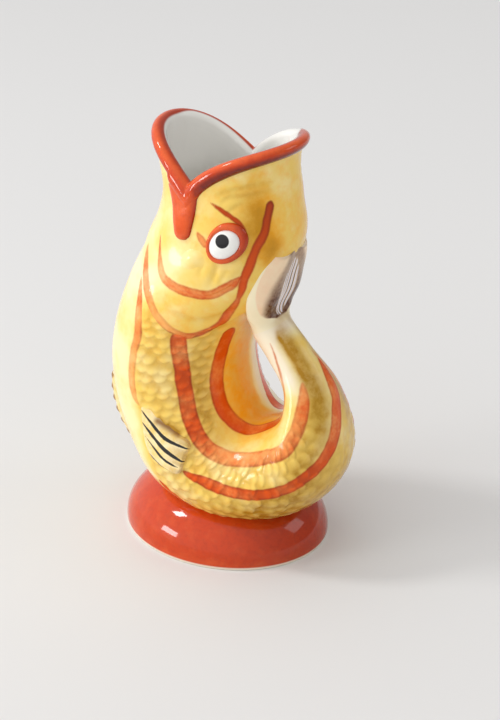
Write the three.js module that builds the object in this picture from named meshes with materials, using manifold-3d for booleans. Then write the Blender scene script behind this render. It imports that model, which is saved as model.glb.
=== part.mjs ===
// Fish-shaped gurgling jug in slip-cast earthenware, in millimetres, +Z up.
// The belly faces -X, the tail handle +X, and the fish is alike on both sides of Y = 0.
// The origin lies on the table, under the middle of the jug's length.
import * as THREE from 'three';
import { mergeVertices } from 'three/addons/utils/BufferGeometryUtils.js';
import Module from 'manifold-3d';

const wasm = await Module();
wasm.setup();

// Overall sizes of the fish
const jugHeight = 217.5;
const fishDepth = 128;
const fishWidth = 83;

// Sections of the fish from the mouth down round the belly and up the tail to the fin.
// back and front are the section's ends in the median plane (x, z), in hundredths of the depth and
// the height. half is its half width, in hundredths of the width.
// A place along the fish is its station: a section's index in this list, or a part between two.
const sections = [
  { at: 'mouth', back: [32, 99.7], front: [-26.3, 100], half: 39.2 },
  { at: 'under the lip', back: [29.7, 93.8], front: [-25, 91.9], half: 36.1 },
  { at: 'brow', back: [30.9, 85.1], front: [-23.4, 84.2], half: 37.3 },
  { at: 'cheek', back: [32, 76.8], front: [-28.9, 74], half: 42.2 },
  { at: 'gill', back: [26.6, 65.8], front: [-37.9, 63.4], half: 46.4 },
  { at: 'shoulder', back: [13.3, 55.9], front: [-44.5, 52], half: 47.6 },
  { at: 'belly', back: [8.6, 46.2], front: [-46.9, 40], half: 47.6 },
  { at: 'low belly', back: [10.2, 38.2], front: [-41.4, 25.3], half: 47.6 },
  { at: 'bottom front', back: [14.1, 33.1], front: [-24.2, 11.1], half: 50 },
  { at: 'bottom', back: [19.1, 31.7], front: [6.6, 5.9], half: 48.8 },
  { at: 'bottom rear', back: [26.6, 33.7], front: [36.8, 10.7], half: 43.4 },
  { at: 'rear bulge', back: [31.1, 37.9], front: [52.9, 22.5], half: 35.2 },
  { at: 'tail root', back: [29.1, 42.9], front: [49.4, 40.6], half: 21.3 },
  { at: 'tail', back: [20.2, 47.8], front: [36.6, 51.5], half: 12.9 },
  { at: 'tail wrist', back: [14.5, 53.2], front: [27.1, 57.1], half: 14.3 },
  { at: 'fin root', back: [17.3, 59.4], front: [26.3, 59.7], half: 20.4 },
  { at: 'fin', back: [22.5, 66.4], front: [29.2, 63.9], half: 25.9 },
  { at: 'fin lobes', back: [27.2, 72.7], front: [30.8, 69.2], half: 23.9 },
  { at: 'fin end', back: [28.5, 76.5], front: [31, 74], half: 16.9 },
];

// Walls and clearances
const jugWall = 5;
const tailWall = 3.4;
const jointGap = 0.3;
const slantGap = 0.6; // along the skin, where an edge runs aslant

// Mouth: the rim dips from its front and back tips to a sharp corner on each side
const cornerAngle = THREE.MathUtils.degToRad(98);
const cornerStation = 1.31;
const cornerSharpness = 2.2;
const lipBand = 7.5;
const lipProud = 2.2;
const lipCornerSpread = 0.4;
const lipRoundness = 0.7;
const lipMiddle = 0.3; // stations below the rim, where the lip's width is measured

// Gill cover: the head's lower edge, lowest on the flank and stepping over the body
const gillAngle = THREE.MathUtils.degToRad(58);
const gillStation = 4.9;
const gillRiseBack = 0.65;
const gillRiseFront = 2.15;
const gillStep = 1.2;
const gillBevel = 0.45;

// Tail handle: where it leaves the body, where its air chamber ends and where the fin starts
const tailStation = 11.75;
const chamberStation = 13.4;
const wristStation = 14;
const finWrap = 34;
const finValley = 3.2;
const finValleyWidth = 0.35;
const finValleyFade = 0.3; // share of its depth that the valley loses at the end
const finLobe = 1.6;
const finLobePlace = 0.72;
const finLobeWidth = 0.25;
const finNotch = 2;
const finNotchWidth = 7;
const finNotchRun = 1.5;

// Foot
const footLength = 109.4;
const footWidth = 94;
const footHeight = 26;
const footEdge = 2;
const footWaist = 0.5;
const footRing = 5.5;
const footFloor = 4.2;
const recessFillet = 3;

// Face
const eyePlace = { station: 2.71, angle: THREE.MathUtils.degToRad(65) };
const eyeDiameter = 14.6;
const eyeBulge = 3.4;
const eyeEdge = 1.2;
const lidWidth = 3.2;
const lidHeight = 2;
const cheekPlace = { station: 3.15, angle: THREE.MathUtils.degToRad(87) };
const cheekDiameter = 11.6;
const cheekBulge = 1.4;
const trimEdge = 0.5;
const roundShare = 0.97; // of a full round, so that an edge keeps some width

// Drooping mouth corner
const cornerTipStation = 2.75;
const cornerTopAngle = THREE.MathUtils.degToRad(103);
const cornerTipAngle = THREE.MathUtils.degToRad(100.5);
const cornerWidth = 17;
const cornerHeight = 2;
const cornerTaper = 0.25;

// Pectoral fin: its corners on the flank as station and angle
const pectoralRoot = [[6.42, 92], [7.52, 105.5]];
const pectoralTip = [[7.7, 59], [8.23, 84.5]];
const pectoralRays = 4;
const pectoralRootHeight = 0.9;
const pectoralTipHeight = 2.6;
const pectoralGroove = 0.7;
const pectoralGrooveStart = 0.25;
const pectoralSweep = 1.5;

// Belly fins: a low pair, one on each side of the belly's front
const bellyFinStart = 5.9;
const bellyFinEnd = 7.3;
const bellyFinAngle = THREE.MathUtils.degToRad(145);
const bellyFinWidth = 8;
const bellyFinHeight = 2.7;
const bellyFinRays = 5;
const bellyFinGroove = 0.25;
const bellyFinFullness = 0.6;

// Facets
const roundSteps = 40;
const tailSteps = 24;
const headRows = 13;
const bodyRows = 24;
const tailRows = 9;
const finRows = 10;
const lipRows = 9;
const footRows = 9;
const domeSteps = 18;
const domeRows = 4;
const lidSteps = 22;
const lidRows = 5;
const cornerRows = 9;
const cornerColumns = 8;
const pectoralRows = 8;
const bellyFinColumns = 6;

const colours = {
  yellow: 0xe6b54c,
  red: 0xc5401f,
  white: 0xf1efe8,
  tan: 0xcfa679,
  cream: 0xeed27f,
};

const lastStation = sections.length - 1;
const percent = new THREE.Vector3(fishDepth, fishWidth, jugHeight).divideScalar(100);
const backLine = new THREE.CatmullRomCurve3(
  sections.map(({ back: [x, z] }) => new THREE.Vector3(x, 0, z).multiply(percent)),
  false,
  'catmullrom',
);
const frontLine = new THREE.CatmullRomCurve3(
  sections.map(({ front: [x, z], half }) => new THREE.Vector3(x, half, z).multiply(percent)),
  false,
  'catmullrom',
);

// Point of the fish's skin at a station and an angle round the section, which runs from the back
// (0) over the right flank to the front (pi). grow moves the skin out, or in where it is negative.
function skin(station, angle, grow = 0) {
  const share = THREE.MathUtils.clamp(station / lastStation, 0, 1);
  const back = backLine.getPoint(share);
  const front = frontLine.getPoint(share);
  const half = front.y;
  front.y = 0;
  const middle = back.clone().lerp(front, 0.5);
  const reach = back.sub(middle);
  reach.setLength(reach.length() + grow);
  const point = middle.addScaledVector(reach, Math.cos(angle));
  point.y = -(half + grow) * Math.sin(angle);
  return point;
}

const halfWidth = (station) => frontLine.getPoint(station / lastStation).y;

// Millimetres along the skin for one whole station, at a place on it
function pace(station, angle) {
  const step = 0.02;
  return skin(station + step, angle).distanceTo(skin(station - step, angle)) / (2 * step);
}

// Angles of a ring, closer together on one side of the mouth corner so that a point falls on it
function ringAngles(count) {
  const quarter = count / 4;
  return Array.from({ length: count }, (_, k) => {
    const up = k <= 2 * quarter ? k : count - k;
    const angle = up <= quarter
      ? (cornerAngle * up) / quarter
      : cornerAngle + ((Math.PI - cornerAngle) * (up - quarter)) / quarter;
    return k <= 2 * quarter ? angle : 2 * Math.PI - angle;
  });
}

// Angle from the back, 0 to pi, on whichever flank it lies
function flankAngle(angle) {
  return Math.abs(Math.atan2(Math.sin(angle), Math.cos(angle)));
}

// 0 at the mouth's front and back tips, 1 at its corners
function cornerShare(angle) {
  const flank = flankAngle(angle);
  return flank < cornerAngle ? flank / cornerAngle : (Math.PI - flank) / (Math.PI - cornerAngle);
}

function rimStation(angle) {
  return cornerStation * cornerShare(angle) ** cornerSharpness;
}

// Lower edge of the lip, which is broader on the steep run to each corner
function lipStation(angle) {
  const rim = rimStation(angle);
  const band = lipBand * (1 + lipCornerSpread * cornerShare(angle) ** 3);
  return rim + band / pace(rim + lipMiddle, angle);
}

// Lower edge of the gill cover, where the head meets the body
function seamStation(angle) {
  const flank = flankAngle(angle);
  if (flank < gillAngle) {
    return gillStation - gillRiseBack * (1 - THREE.MathUtils.smoothstep(flank, 0, gillAngle));
  }
  return gillStation - gillRiseFront * THREE.MathUtils.smoothstep(flank, gillAngle, Math.PI);
}

// Head skin, which stands proud of the body towards the gill edge
function headSkin(station, angle, grow = 0) {
  const seam = seamStation(angle);
  const proud = gillStep * THREE.MathUtils.smoothstep(station, seam - gillBevel, seam);
  return skin(station, angle, proud + grow);
}

// Outward normal of a skin at a place on it
function outward(surface, station, angle) {
  const step = 0.02;
  const along = surface(station + step, angle).sub(surface(station - step, angle));
  const round = surface(station, angle + step).sub(surface(station, angle - step));
  return round.cross(along).normalize();
}

// Point that stands a height above a skin, square to it
function above(surface, station, angle, height) {
  return surface(station, angle).addScaledVector(outward(surface, station, angle), height);
}

// Closed solid through a row of rings with equal counts of points. Its ends are closed by a fan, by
// a ladder between the two halves of the ring, or with loop by joining the last ring to the first.
function ringSolid(rings, ends = 'fan') {
  const count = rings[0].length;
  const points = rings.flat();
  const faces = [];
  const bands = ends === 'loop' ? rings.length : rings.length - 1;
  for (let i = 0; i < bands; i += 1) {
    const low = i * count;
    const high = ((i + 1) % rings.length) * count;
    for (let k = 0; k < count; k += 1) {
      const next = (k + 1) % count;
      faces.push(low + k, low + next, high + next, low + k, high + next, high + k);
    }
  }
  if (ends !== 'loop') {
    const close = ends === 'fan' ? fanRing : ladderRing;
    close(points, faces, 0, count, true);
    close(points, faces, (rings.length - 1) * count, count, false);
  }
  return facingOut(points, faces);
}

function fanRing(points, faces, start, count, first) {
  const centre = new THREE.Vector3();
  for (let k = 0; k < count; k += 1) {
    centre.addScaledVector(points[start + k], 1 / count);
  }
  points.push(centre);
  const hub = points.length - 1;
  for (let k = 0; k < count; k += 1) {
    const here = start + k;
    const next = start + ((k + 1) % count);
    faces.push(...(first ? [hub, next, here] : [hub, here, next]));
  }
}

function ladderRing(points, faces, start, count, first) {
  for (let k = 0; k < count / 2 - 1; k += 1) {
    const [a, b] = [start + k, start + k + 1];
    const [c, d] = [start + count - 2 - k, start + count - 1 - k];
    faces.push(...(first ? [a, c, b, a, d, c] : [a, b, c, a, c, d]));
  }
}

// Indexed geometry whose faces are turned round if they enclose a negative volume
function facingOut(points, faces) {
  let volume = 0;
  for (let i = 0; i < faces.length; i += 3) {
    const [a, b, c] = [points[faces[i]], points[faces[i + 1]], points[faces[i + 2]]];
    volume += a.dot(b.clone().cross(c));
  }
  const geometry = new THREE.BufferGeometry().setFromPoints(points);
  geometry.setIndex(volume < 0 ? faces.reverse() : faces);
  return geometry;
}

function toManifold(geometry) {
  const bare = geometry.clone();
  bare.deleteAttribute('normal');
  bare.deleteAttribute('uv');
  const merged = mergeVertices(bare, 1e-5);
  return new wasm.Manifold(new wasm.Mesh({
    numProp: 3,
    vertProperties: Float32Array.from(merged.attributes.position.array),
    triVerts: Uint32Array.from(merged.index.array),
  }));
}

// What is left of a solid when others are cut out of it
function cutBy(geometry, ...cutters) {
  const left = cutters.reduce((rest, tool) => rest.subtract(toManifold(tool)), toManifold(geometry));
  const mesh = left.getMesh();
  const result = new THREE.BufferGeometry();
  result.setAttribute('position', new THREE.BufferAttribute(Float32Array.from(mesh.vertProperties), 3));
  result.setIndex(Array.from(mesh.triVerts));
  return result;
}

const span = (count, from, to) => Array.from(
  { length: count + 1 },
  (_, i) => from + ((to - from) * i) / count,
);
const angles = ringAngles(roundSteps);
const tailAngles = ringAngles(tailSteps);

// Rings of a skin between two edges that each depend on the angle
function skinRings(surface, rows, ring, top, bottom, grow) {
  return span(rows, 0, 1).map((share) => ring.map((angle) => {
    const station = THREE.MathUtils.lerp(top(angle), bottom(angle), share);
    return surface(station, angle, grow);
  }));
}

// Station that lies a gap further on than a given one
const past = (station, angle, gap) => station + gap / pace(station, angle);

const headTop = (angle) => past(lipStation(angle), angle, jointGap);
const bodyTop = (angle) => past(seamStation(angle), angle, slantGap);
const tailStart = () => tailStation;

function makeHead() {
  const outside = skinRings(headSkin, headRows, angles, headTop, seamStation, 0);
  const inside = skinRings(skin, headRows, angles, headTop, seamStation, -jugWall);
  return ringSolid([...outside, ...inside.reverse()], 'loop');
}

function makeBody() {
  const outside = skinRings(skin, bodyRows, angles, bodyTop, tailStart, 0);
  const inside = skinRings(skin, bodyRows, angles, bodyTop, tailStart, -jugWall);
  return ringSolid([...outside, ...inside.reverse()], 'loop');
}

// Solid that fills the head or the body out to its skin and a clearance past it, for cutting
function fillHead() {
  return ringSolid(skinRings(headSkin, headRows, angles, headTop, bodyTop, jointGap));
}

function fillBody() {
  return ringSolid(skinRings(skin, bodyRows, angles, seamStation, tailStart, jointGap));
}

// Lip: an arch carried round the rim, its inside flush with the wall. For cutting it takes a clearance.
function makeLip(clearance = 0) {
  const middle = (lipProud - jugWall) / 2;
  const halfThickness = (lipProud + jugWall) / 2 + clearance;
  const arch = span(lipRows, 0, Math.PI);
  const rings = arch.map((turn) => angles.map((angle) => {
    const station = THREE.MathUtils.lerp(
      past(lipStation(angle), angle, clearance),
      rimStation(angle),
      Math.max(0, Math.sin(turn)) ** lipRoundness,
    );
    return skin(station, angle, middle + halfThickness * Math.cos(turn));
  }));
  return ringSolid(rings, 'loop');
}

// Tail: a tube that is open to the belly and blind at the wrist
function makeTail() {
  const start = (angle) => past(tailStation, angle, jointGap);
  const wrist = () => wristStation;
  const chamberEnd = () => chamberStation;
  const outside = skinRings(skin, tailRows, tailAngles, wrist, start, 0);
  const inside = skinRings(skin, tailRows, tailAngles, start, chamberEnd, -tailWall);
  return ringSolid([...outside, ...inside]);
}

// Tail fin: its lobes bend round the head on both sides of a valley, and its end is notched
function finSkin(station, angle) {
  const open = THREE.MathUtils.smoothstep(station, wristStation, wristStation + 1);
  const end = THREE.MathUtils.smoothstep(station, lastStation - finNotchRun, lastStation);
  const across = Math.abs(Math.sin(angle));
  const depth = finValley * (1 - finValleyFade * end);
  const valley = depth * Math.exp(-((across / finValleyWidth) ** 2));
  const lobe = finLobe * Math.exp(-(((across - finLobePlace) / finLobeWidth) ** 2));
  const point = skin(station, angle, Math.cos(angle) < 0 ? open * (lobe - valley) : 0);
  point.x -= (open * point.y ** 2) / (2 * finWrap);
  point.z -= finNotch * end * Math.exp(-((point.y / finNotchWidth) ** 2));
  return point;
}

function makeTailFin() {
  const root = (angle) => past(wristStation, angle, jointGap);
  const tip = () => lastStation;
  return cutBy(
    ringSolid(skinRings(finSkin, finRows, tailAngles, root, tip)),
    fillHead(),
    fillBody(),
  );
}

// Foot: an oval dome with a recessed underside, hollowed on top to seat the belly
function makeFoot() {
  const bellyBottom = Math.min(...span(40, 8, 10).map((station) => skin(station, Math.PI).z));
  const ceiling = bellyBottom - jointGap - footFloor;
  const oval = (inset, height, share = 1) => angles.map((angle) => new THREE.Vector3(
    (footLength / 2 - inset) * share * Math.cos(angle),
    (footWidth / 2 - inset) * share * Math.sin(angle),
    height,
  ));
  const ringInset = footEdge / 2 + footRing;
  const dome = span(footRows, 0, Math.PI / 2).map((turn) => oval(
    0,
    footEdge + (footHeight - footEdge) * Math.sin(turn),
    footWaist + (1 - footWaist) * Math.cos(turn),
  ));
  const rings = [
    oval(ringInset + 2 * recessFillet, ceiling),
    oval(ringInset + recessFillet / 2, ceiling - recessFillet / 2),
    oval(ringInset, ceiling - 1.5 * recessFillet),
    oval(ringInset, 0),
    oval(footEdge / 2, 0),
    ...dome,
  ];
  return cutBy(ringSolid(rings), fillBody());
}

// Places a distance along and round the skin from a given place, for the small round pieces
function around(surface, place, side, radius, turn) {
  const reach = radius / pace(place.station, place.angle);
  const step = 0.02;
  const width = surface(place.station, place.angle + step)
    .distanceTo(surface(place.station, place.angle - step)) / (2 * step);
  return [
    place.station + reach * Math.sin(turn),
    side * (place.angle + (radius / width) * Math.cos(turn)),
  ];
}

// Domed button on the head: flat rim, rounded top and an underside that follows the skin
function makeDome(place, side, diameter, edge, bulge) {
  const turns = span(domeSteps, 0, 2 * Math.PI).slice(0, -1);
  const ringAt = (radius, height) => turns.map((turn) => {
    const [station, angle] = around(headSkin, place, side, radius, turn);
    return above(headSkin, station, angle, height);
  });
  const full = diameter / 2;
  const slopes = span(domeRows, 0.1, Math.PI / 2);
  return ringSolid([
    ringAt(0.3 * full, jointGap),
    ringAt(full, jointGap),
    ...slopes.slice().reverse().map((slope) => ringAt(
      full * Math.sin(slope),
      jointGap + edge + bulge * Math.cos(slope),
    )),
  ]);
}

// Eyelid: a rounded ring that leaves a clearance round the eye
function makeEyelid(side) {
  const turns = span(lidSteps, 0, 2 * Math.PI).slice(0, -1);
  const inner = eyeDiameter / 2 + jointGap;
  const arch = span(lidRows, 0, Math.PI);
  return ringSolid(arch.map((slope) => turns.map((turn) => {
    const radius = inner + (lidWidth * (1 - Math.cos(slope))) / 2;
    const [station, angle] = around(headSkin, eyePlace, side, radius, turn);
    return above(headSkin, station, angle, jointGap + lidHeight * Math.sin(slope));
  })), 'loop');
}

// Strip on a skin: each ring goes across its top and back along its underside. place gives the
// station and angle, and rise the height, at a share along the strip and a share across it.
function makeStrip(surface, along, across, place, rise) {
  return ringSolid(span(along, 0, 1).map((down) => {
    const sides = span(across, -1, 1);
    const top = sides.map((wide) => {
      const [station, angle] = place(down, wide);
      return above(surface, station, angle, jointGap + rise(down, wide));
    });
    const under = sides.map((wide) => {
      const [station, angle] = place(down, wide);
      return above(surface, station, angle, jointGap);
    });
    return [...top, ...under.reverse()];
  }), 'ladder');
}

// Mouth corner: a tongue that hangs from the lip and tapers to a round tip
function makeMouthCorner(side) {
  const halfAngle = cornerWidth / 2 / halfWidth(cornerTipStation);
  const place = (down, wide) => {
    const taper = Math.sqrt(1 - (roundShare * down) ** 3) * (1 - cornerTaper * down);
    const angle = THREE.MathUtils.lerp(cornerTopAngle, cornerTipAngle, down) + wide * halfAngle * taper;
    return [THREE.MathUtils.lerp(lipStation(angle), cornerTipStation, down), side * angle];
  };
  const rise = (down, wide) => trimEdge + (cornerHeight - trimEdge) * Math.sqrt(1 - (roundShare * wide) ** 2);
  return cutBy(makeStrip(headSkin, cornerRows, cornerColumns, place, rise), makeLip(jointGap));
}

// Pectoral fin: low at its root, standing proud at its ragged tip, with a rib for each ray
function makePectoralFin(side) {
  const place = (down, wide) => {
    const share = (wide + 1) / 2;
    const mix = (item) => THREE.MathUtils.lerp(
      THREE.MathUtils.lerp(pectoralRoot[0][item], pectoralRoot[1][item], share),
      THREE.MathUtils.lerp(pectoralTip[0][item], pectoralTip[1][item], share),
      down,
    );
    return [mix(0), side * THREE.MathUtils.degToRad(mix(1))];
  };
  const rise = (down, wide) => {
    const rib = Math.abs(Math.sin((pectoralRays * Math.PI * (wide + 1)) / 2));
    const height = THREE.MathUtils.lerp(pectoralRootHeight, pectoralTipHeight, down ** pectoralSweep);
    return height - pectoralGroove * Math.min(1, down / pectoralGrooveStart) * (1 - rib);
  };
  return makeStrip(skin, pectoralRows, 4 * pectoralRays, place, rise);
}

// Belly fin: a narrow ridge with short rays across it
function makeBellyFin(side) {
  const place = (down, wide) => {
    const station = THREE.MathUtils.lerp(bellyFinStart, bellyFinEnd, down);
    const halfAngle = bellyFinWidth / 2 / halfWidth(bellyFinStart);
    return [station, side * (bellyFinAngle + wide * halfAngle)];
  };
  const rise = (down, wide) => {
    const ray = 1 - bellyFinGroove * Math.abs(Math.cos(bellyFinRays * Math.PI * down));
    const crown = Math.sin(Math.PI * down) ** bellyFinFullness * Math.sqrt(1 - (roundShare * wide) ** 2);
    return trimEdge + (bellyFinHeight - trimEdge) * ray * crown;
  };
  return makeStrip(skin, 3 * bellyFinRays, bellyFinColumns, place, rise);
}

const jug = new THREE.Group();

function add(name, geometry, colour, roughness = 0.15) {
  const material = new THREE.MeshStandardMaterial({ color: colour, roughness, metalness: 0 });
  const mesh = new THREE.Mesh(geometry, material);
  mesh.name = name;
  jug.add(mesh);
}

add('foot', makeFoot(), colours.red);
add('body', makeBody(), colours.yellow);
add('head', makeHead(), colours.yellow);
add('lip', makeLip(), colours.red);
add('tail', makeTail(), colours.yellow);
add('tail_fin', makeTailFin(), colours.tan);

// The fish looks towards -X, so its right side is at -Y
for (const [hand, side] of [['right', 1], ['left', -1]]) {
  add(`${hand}_pectoral_fin`, makePectoralFin(side), colours.cream);
  add(`${hand}_belly_fin`, makeBellyFin(side), colours.cream);
  add(`${hand}_mouth_corner`, makeMouthCorner(side), colours.red);
  add(`${hand}_eye`, makeDome(eyePlace, side, eyeDiameter, eyeEdge, eyeBulge), colours.white);
  add(`${hand}_eyelid`, makeEyelid(side), colours.red);
  add(`${hand}_cheek`, makeDome(cheekPlace, side, cheekDiameter, trimEdge, cheekBulge), colours.yellow);
}

// The middle of the jug's length stands over the origin
const box = new THREE.Box3().setFromObject(jug);
jug.position.x = -(box.min.x + box.max.x) / 2;

export default jug;
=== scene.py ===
import math

import bpy
import numpy as np
from mathutils import Matrix, Vector


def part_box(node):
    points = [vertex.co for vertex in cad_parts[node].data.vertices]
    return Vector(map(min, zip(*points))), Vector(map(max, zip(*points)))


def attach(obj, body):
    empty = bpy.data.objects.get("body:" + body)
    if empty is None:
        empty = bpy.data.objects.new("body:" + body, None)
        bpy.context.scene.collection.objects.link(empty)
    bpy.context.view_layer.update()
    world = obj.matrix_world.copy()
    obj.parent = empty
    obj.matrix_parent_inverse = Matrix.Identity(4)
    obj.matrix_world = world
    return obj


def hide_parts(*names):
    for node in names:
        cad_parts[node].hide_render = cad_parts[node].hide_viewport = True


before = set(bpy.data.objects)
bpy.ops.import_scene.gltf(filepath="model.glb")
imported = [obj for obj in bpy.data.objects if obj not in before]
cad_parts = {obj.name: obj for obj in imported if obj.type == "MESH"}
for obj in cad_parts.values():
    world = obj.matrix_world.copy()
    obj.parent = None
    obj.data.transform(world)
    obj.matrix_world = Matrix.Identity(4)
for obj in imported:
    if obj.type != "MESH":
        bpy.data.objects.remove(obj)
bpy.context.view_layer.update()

# A gurgling fish jug in slip-cast earthenware, painted by hand and glazed. Sizes here are in mm and turn
# into metres when a mesh is made. The fish looks along -X and its right flank is at -Y.
mm = 0.001
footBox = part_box("foot")
footMiddle = (footBox[0].x + footBox[1].x) / 2 / mm

# The fish as sections from its mouth (station 0) to the end of its tail fin (station 18). Each has a back
# point and a front point in the middle plane, and a half width, in hundredths of the three sizes. Wall is in
# mm; step is what slopes are measured over, in stations or radians.
fish = {
    "depth": 127.85,
    "width": 83,
    "height": 217.4,
    "backX": [32, 29.7, 30.9, 32, 26.6, 13.3, 8.6, 10.2, 14.1, 19.1,
              26.6, 31.1, 29.1, 20.2, 14.5, 17.3, 22.5, 27.2, 28.5],
    "backZ": [99.7, 93.8, 85.1, 76.8, 65.8, 55.9, 46.2, 38.2, 33.1, 31.7,
              33.7, 37.9, 42.9, 47.8, 53.2, 59.4, 66.4, 72.7, 76.5],
    "frontX": [-26.3, -25, -23.4, -28.9, -37.9, -44.5, -46.9, -41.4, -24.2, 6.6,
               36.8, 52.9, 49.4, 36.6, 27.1, 26.3, 29.2, 30.8, 31],
    "frontZ": [100, 91.9, 84.2, 74, 63.4, 52, 40, 25.3, 11.1, 5.9,
               10.7, 22.5, 40.6, 51.5, 57.1, 59.7, 63.9, 69.2, 74],
    "half": [39.2, 36.1, 37.3, 42.2, 46.4, 47.6, 47.6, 47.6, 50, 48.8,
             43.4, 35.2, 21.3, 12.9, 14.3, 20.4, 25.9, 23.9, 16.9],
    "wall": 5.0,
    "step": 0.02,
}


def smooth(value, low, high):
    # 0 below low, 1 above high, an S curve between them
    t = np.clip((value - low) / (high - low), 0, 1)
    return t * t * (3 - 2 * t)


def window(value, start, full, fade, end):
    # 1 from full to fade, 0 before start and after end
    return smooth(value, start, full) * (1 - smooth(value, fade, end))


def bell(value, middle, breadth):
    # 1 in the middle, about a third at the breadth, near 0 at twice the breadth
    return np.exp(-((value - middle) / breadth) ** 2)


def spline(values, place):
    # Catmull-Rom curve through evenly spaced values
    last = len(values) - 1
    knots = np.array(values, float)
    knots = np.concatenate(([2 * knots[0] - knots[1]], knots, [2 * knots[-1] - knots[-2]]))
    place = np.clip(place, 0, last)
    first = np.minimum(np.asarray(place).astype(int), last - 1)
    t = place - first
    a, b, c, d = (knots[first + k] for k in range(4))
    return b + t / 2 * (c - a + t * (2 * a - 5 * b + 4 * c - d + t * (3 * (b - c) + d - a)))


def unit(vectors):
    return vectors / np.maximum(np.linalg.norm(vectors, axis=-1, keepdims=True), 1e-9)


def fishSkin(station, angle, grow=0.0):
    # an ellipse at each station: angle 0 is the back, 90 degrees the right flank, 180 the front
    station, angle, grow = np.broadcast_arrays(station, angle, grow)
    backX, frontX = (spline(fish[key], station) * fish["depth"] / 100 for key in ("backX", "frontX"))
    backZ, frontZ = (spline(fish[key], station) * fish["height"] / 100 for key in ("backZ", "frontZ"))
    half = spline(fish["half"], station) * fish["width"] / 100
    reach = np.hypot(backX - frontX, backZ - frontZ) / 2
    lengthen = np.cos(angle) * (1 + grow / reach) / 2
    x = (backX + frontX) / 2 + (backX - frontX) * lengthen + footMiddle
    z = (backZ + frontZ) / 2 + (backZ - frontZ) * lengthen
    return np.stack((x, -(half + grow) * np.sin(angle), z), axis=-1)


def skinSlopes(station, angle):
    # how the skin runs on over one station and over one radian round the section, from a small step
    step = fish["step"]
    along = fishSkin(station + step, angle) - fishSkin(station - step, angle)
    around = fishSkin(station, angle + step) - fishSkin(station, angle - step)
    return along / (2 * step), around / (2 * step)


def skinNormal(station, angle):
    # the way out of the skin, square to both of its directions
    along, around = skinSlopes(station, angle)
    return unit(np.cross(around, along))


def pace(station, angle):
    # mm of skin for one station
    return np.linalg.norm(skinSlopes(station, angle)[0], axis=-1)


def sweep(station, angle):
    # mm of skin for one radian round the section
    return np.linalg.norm(skinSlopes(station, angle)[1], axis=-1)


def raised(station, angle, height):
    # points some mm out from the skin, square to it
    height = np.broadcast_to(height, station.shape)
    return fishSkin(station, angle) + skinNormal(station, angle) * height[..., None]


def padRings(station, angle, height, sink):
    # a pad on the skin: rings from its middle out over its face, then back some mm below the skin
    return np.concatenate((raised(station, angle, height), raised(station, angle, -sink)[::-1]))


def padField(field, blank=0.0):
    # values on the face of a pad, then one value on its underside
    return np.concatenate((field, np.full(field.shape, blank)))


def turned(angle):
    # the angle from the back, above 0 on the right flank and below 0 on the left
    return np.arctan2(np.sin(angle), np.cos(angle))


def flank(angle):
    # the angle from the back, the same on both sides
    return np.abs(turned(angle))


# The mouth dips to a corner on each flank, and its lip is a roll that follows the rim.
mouth = {
    "cornerAngle": math.radians(98),
    "cornerStation": 1.31,
    "sharpness": 2.2,
    "band": 7.5,
    "proud": 2.2,
    "cornerSpread": 0.4,
}
# middle and half thickness of the roll, out from the skin
lipMiddle = (mouth["proud"] - fish["wall"]) / 2
lipThick = (mouth["proud"] + fish["wall"]) / 2


def cornerShare(angle):
    # 0 at the front and back of the mouth, 1 at its corners
    side = flank(angle)
    behind = side / mouth["cornerAngle"]
    before = (math.pi - side) / (math.pi - mouth["cornerAngle"])
    return np.minimum(behind, before)


def rimStation(angle):
    return mouth["cornerStation"] * cornerShare(angle) ** mouth["sharpness"]


def lipStation(angle):
    # the lower edge of the lip, a band below the rim that is wider at the corners
    rim = rimStation(angle)
    band = mouth["band"] * (1 + mouth["cornerSpread"] * cornerShare(angle) ** 3)
    return rim + band / pace(rim + 0.3, angle)


def fullTurn(count):
    return np.linspace(0, 2 * math.pi, count, endpoint=False)


def roundedSquare(turn, power):
    # how far out a square with round corners reaches in each direction
    return (np.abs(np.cos(turn)) ** power + np.abs(np.sin(turn)) ** power) ** (-1 / power)


def rowShares(rows, before, after=0):
    # 0 to 1 in even rows, with some rows more before and after them
    return np.arange(-before, rows + after)[:, None] / (rows - 1)


def ringAngles(count):
    # a quarter of the points from the back to a mouth corner, a quarter on to the front, then the
    # mirror image
    quarter = count // 4
    behind = np.linspace(0, mouth["cornerAngle"], quarter, endpoint=False)
    before = np.linspace(mouth["cornerAngle"], math.pi, quarter, endpoint=False)
    right = np.concatenate((behind, before))
    return np.concatenate((right, math.pi + np.concatenate(([0], math.pi - right[:0:-1]))))


# The gill cover's lower edge stands proud of the body.
gill = {
    "angle": math.radians(58),
    "station": 4.9,
    "riseBack": 0.65,
    "riseFront": 2.15,
    "step": 1.2,
    "bevel": 0.45,
    "edge": 0.8,
}


def seamStation(angle):
    side = flank(angle)
    behind = gill["riseBack"] * (1 - smooth(side, 0, gill["angle"]))
    before = gill["riseFront"] * smooth(side, gill["angle"], math.pi)
    return gill["station"] - np.where(side < gill["angle"], behind, before)


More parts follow.
